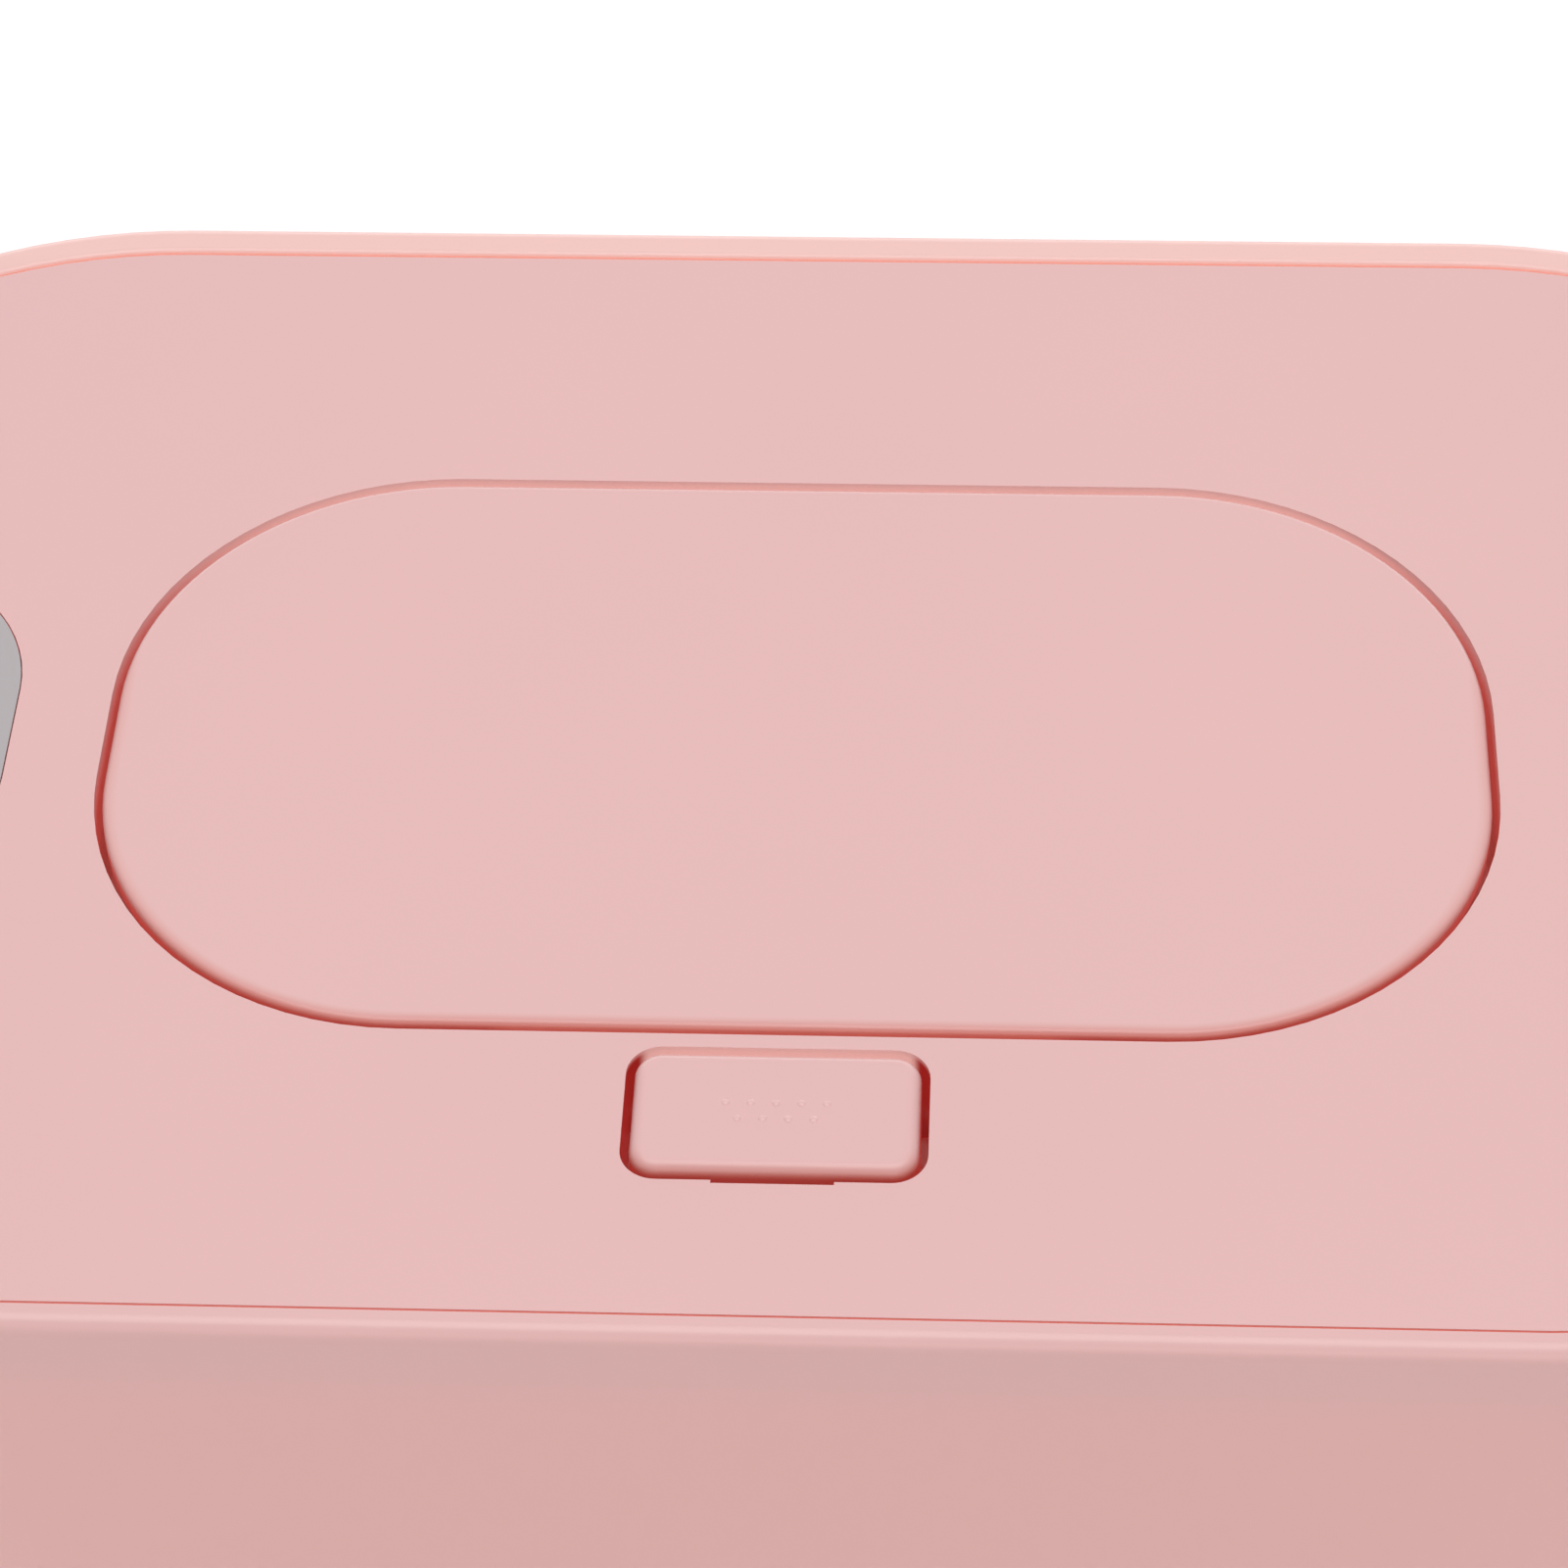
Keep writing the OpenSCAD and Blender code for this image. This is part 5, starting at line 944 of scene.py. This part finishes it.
def soft_block(low, high, bevel, material, name):
    """Block with bevelled edges, as the top of a moulded case has."""
    x0, y0, z0, x1, y1, z1 = *low, *high
    levels = ((bevel, z0), (0.0, z0 + bevel), (0.0, z1 - bevel), (bevel, z1))
    return skin(name, [[(x0 + i, y0 + i, z), (x1 - i, y0 + i, z), (x1 - i, y1 - i, z), (x0 + i, y1 - i, z)]
                       for i, z in levels], material)


def join(name, pieces):
    """One mesh of several pieces, with all their materials."""
    work = bmesh.new()
    mesh = bpy.data.meshes.new(name)
    for piece in pieces:
        start = len(work.faces)
        work.from_mesh(piece.data)
        work.faces.ensure_lookup_table()
        material = piece.data.materials[0]
        if material.name not in mesh.materials:
            mesh.materials.append(material)
        for face in work.faces[start:]:
            face.material_index = mesh.materials.find(material.name)
        bpy.data.objects.remove(piece)
    work.to_mesh(mesh)
    work.free()
    joined = bpy.data.objects.new(name, mesh)
    scene.collection.objects.link(joined)
    return joined


def lathed(name, x, y, profile, material, sides=40):
    """Round piece on an upright axis, from radius and height pairs."""
    angles = [2 * pi * i / sides for i in range(sides)]
    return skin(name, [[(x + r * cos(angle), y + r * sin(angle), z) for angle in angles]
                       for r, z in profile], material)


solids = sorted(islands("board_parts"), key=lambda corners: (corners[1].z, corners[0].x))
(chip_low, chip_high), (can2_low, can2_high), plug_a, plug_b, (can_low, can_high) = solids
pieces = [soft_block(chip_low + Vector((0.0008, 0.0009, 0.0003)), chip_high - Vector((0.0008, 0.0009, 0)),
                     0.00015, moulded_black, "Chip_Case")]
LEG_PITCH, LEG_HALF, LEG_T = 0.00127, 0.0002, 0.0002
leg_bends = ((0.0, 0.0), (0.00015, 0.0), (0.0004, 0.0006), (0.0010, 0.0006))
for side, outer in ((-1, chip_low.y), (1, chip_high.y)):
    for n in range(4):
        x = (chip_low.x + chip_high.x) / 2 + (n - 1.5) * LEG_PITCH
        rings = [[(x + across, outer - side * run, chip_low.z + up + thick) for across, thick in (
            (-LEG_HALF, 0), (LEG_HALF, 0), (LEG_HALF, LEG_T), (-LEG_HALF, LEG_T))] for run, up in leg_bends]
        pieces.append(skin("Chip_Leg", rings, tinned))
fit_on(join("Controller_Chip", pieces), "casing", "black_plastic", "board_parts", sharp=30)

sleeve, sockets, place = finish("Capacitor_Sleeve", ior=1.5)
can_middle = (can_low + can_high) / 2
stripe = abs(place.axis(0) - can_middle.x).ramp(0.0009, 0.0010)
stripe = stripe + (place.axis(1) - can_middle.y).ramp(-0.0002, 0.0002)
stripe.ramp(0.0, 1.0).blend(colour(0.55, 0.55, 0.56), colour(0.015, 0.02, 0.05)).feed(sockets["Base Color"])
gloss(sockets, place, 300.0, 0.1, 0.3)
pieces = []
for a, b in ((can_low, can_high), (can2_low, can2_high)):
    x, y, r, z0, z1 = (a.x + b.x) / 2, (a.y + b.y) / 2, (b.x - a.x) / 2, a.z, b.z
    pieces.append(lathed("Can", x, y, [
        (r * 0.9, z0), (r, z0 + 0.0002), (r, z0 + 0.0008), (r - 0.0003, z0 + 0.0011), (r, z0 + 0.0014),
        (r, z1 - 0.0003), (r - 0.0003, z1)], sleeve))
    pieces.append(lathed("Can_Top", x, y, [(r - 0.0002, z1 - 0.0004), (r - 0.0005, z1 - 0.0001),
                                           (r * 0.12, z1 - 0.0002)], rolled))
fit_on(join("Capacitors", pieces), "casing", "black_plastic", "board_parts", sharp=30)

plug_white = mottled("Plug_Nylon", (150.0,), (0.62, 0.60, 0.52), (0.68, 0.66, 0.58), (400.0, 0.1, 0.4),
                     ior=1.5, subsurface_weight=0.1, subsurface_scale=0.001)
pieces = []
for low, high in (plug_a, plug_b):
    pieces.append(soft_block(low, high - Vector((0, 0.0008, 0.0008)), 0.0002, plug_white, "Plug"))
    for n in range(5):
        x = low.x + (n + 0.5) / 5 * (high.x - low.x)
        pieces.append(soft_block((x - 0.0004, low.y + 0.0006, high.z - 0.0010),
                                 (x + 0.0004, high.y - 0.0010, high.z), 0.0001, plug_white, "Plug_Rib"))
    for n in (-1, 1):
        x = (low.x + high.x) / 2 + n * 0.0015
        pieces.append(soft_block((x - 0.0011, high.y - 0.0010, low.z + 0.0012),
                                 (x + 0.0011, high.y, low.z + 0.0040), 0.0002, plug_white, "Plug_Neck"))
fit_on(join("Lead_Plugs", pieces), "casing", "black_plastic", "board_parts", sharp=30)

# Heat switch and fuse under the tank: the switch has a steel cap over a phenolic base with two tags. The fuse
# is a metal case with resin ends, held by a steel clip.
switch_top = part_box("thermostat")[1].z
switch, sockets, place = finish("Switch_Cap_And_Base")
height = place.axis(2)
cap = height.ramp(switch_top - 0.00130, switch_top - 0.00125)
tags = 1.0 - height.ramp(switch_top - 0.00465, switch_top - 0.00460)
metal = cap + tags
metal.ramp(0.2, 0.8).feed(sockets["Metallic"])
base_brown = place.noise(200.0).blend(colour(0.055, 0.030, 0.018), colour(0.080, 0.045, 0.028))
cap_steel = place.noise(500.0).blend(colour(0.55, 0.55, 0.56), colour(0.70, 0.70, 0.71))
metal.blend(base_brown, cap_steel).feed(sockets["Base Color"])
(metal * -0.2 + place.noise(400.0) * 0.1 + 0.5).feed(sockets["Roughness"])
parts["thermostat"].data.materials[0] = switch
fuse_low, fuse_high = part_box("thermal_fuse")
fuse, sockets, place = finish("Fuse_And_Clip", metallic=1.0)
ends = abs(place.axis(1) - (fuse_low.y + fuse_high.y) / 2)
resin = ends.ramp(0.0040, 0.0041) * (1.0 - ends.ramp(0.00505, 0.00510))
(1.0 - resin).feed(sockets["Metallic"])
resin.blend(place.noise(500.0).blend(colour(0.50, 0.50, 0.50), colour(0.68, 0.68, 0.67)),
            colour(0.30, 0.10, 0.04)).feed(sockets["Base Color"])
gloss(sockets, place, 500.0, 0.12, 0.26)
parts["thermal_fuse"].data.materials[0] = fuse

# Inlet: a black moulded barrel with brass contacts. It goes through the rear wall and is held by a
# nickel-plated nut on the inside.
parts["dc_jack"].data.materials[0] = moulded_black
parts["dc_jack_nut"].data.materials[0] = mottled(
    "Nickel_Plate", (240.0,), (0.60, 0.58, 0.54), (0.72, 0.70, 0.66), (700.0, 0.12, 0.18), metallic=1.0)
parts["dc_jack_contacts"].data.materials[0] = mottled(
    "Contact_Brass", (400.0,), (0.72, 0.50, 0.20), (0.82, 0.62, 0.30), (700.0, 0.14, 0.22), metallic=1.0)

# Indicator: a green LED on steel legs, soldered to the board, behind a small frosted lens that is pressed
# into the front wall.
led, sockets, place = finish("Green_Epoxy", ior=1.5, transmission_weight=0.6)
led_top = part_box("indicator_led")[1].z
stem = 1.0 - place.axis(2).ramp(led_top - 0.0034, led_top - 0.0030)
stem.feed(sockets["Metallic"])
stem.blend(place.noise(300.0).blend(colour(0.05, 0.42, 0.12), colour(0.08, 0.52, 0.16)),
           colour(0.60, 0.60, 0.58)).feed(sockets["Base Color"])
gloss(sockets, place, 500.0, 0.08, 0.16)
parts["indicator_led"].data.materials[0] = led
parts["indicator_lens"].data.materials[0] = mottled(
    "Frosted_Lens", (120.0,), (0.80, 0.80, 0.79), (0.86, 0.86, 0.85), (700.0, 0.14, 0.34),
    (2400.0, 2.0, 0.3, 0.00005), ior=1.49, transmission_weight=0.55)
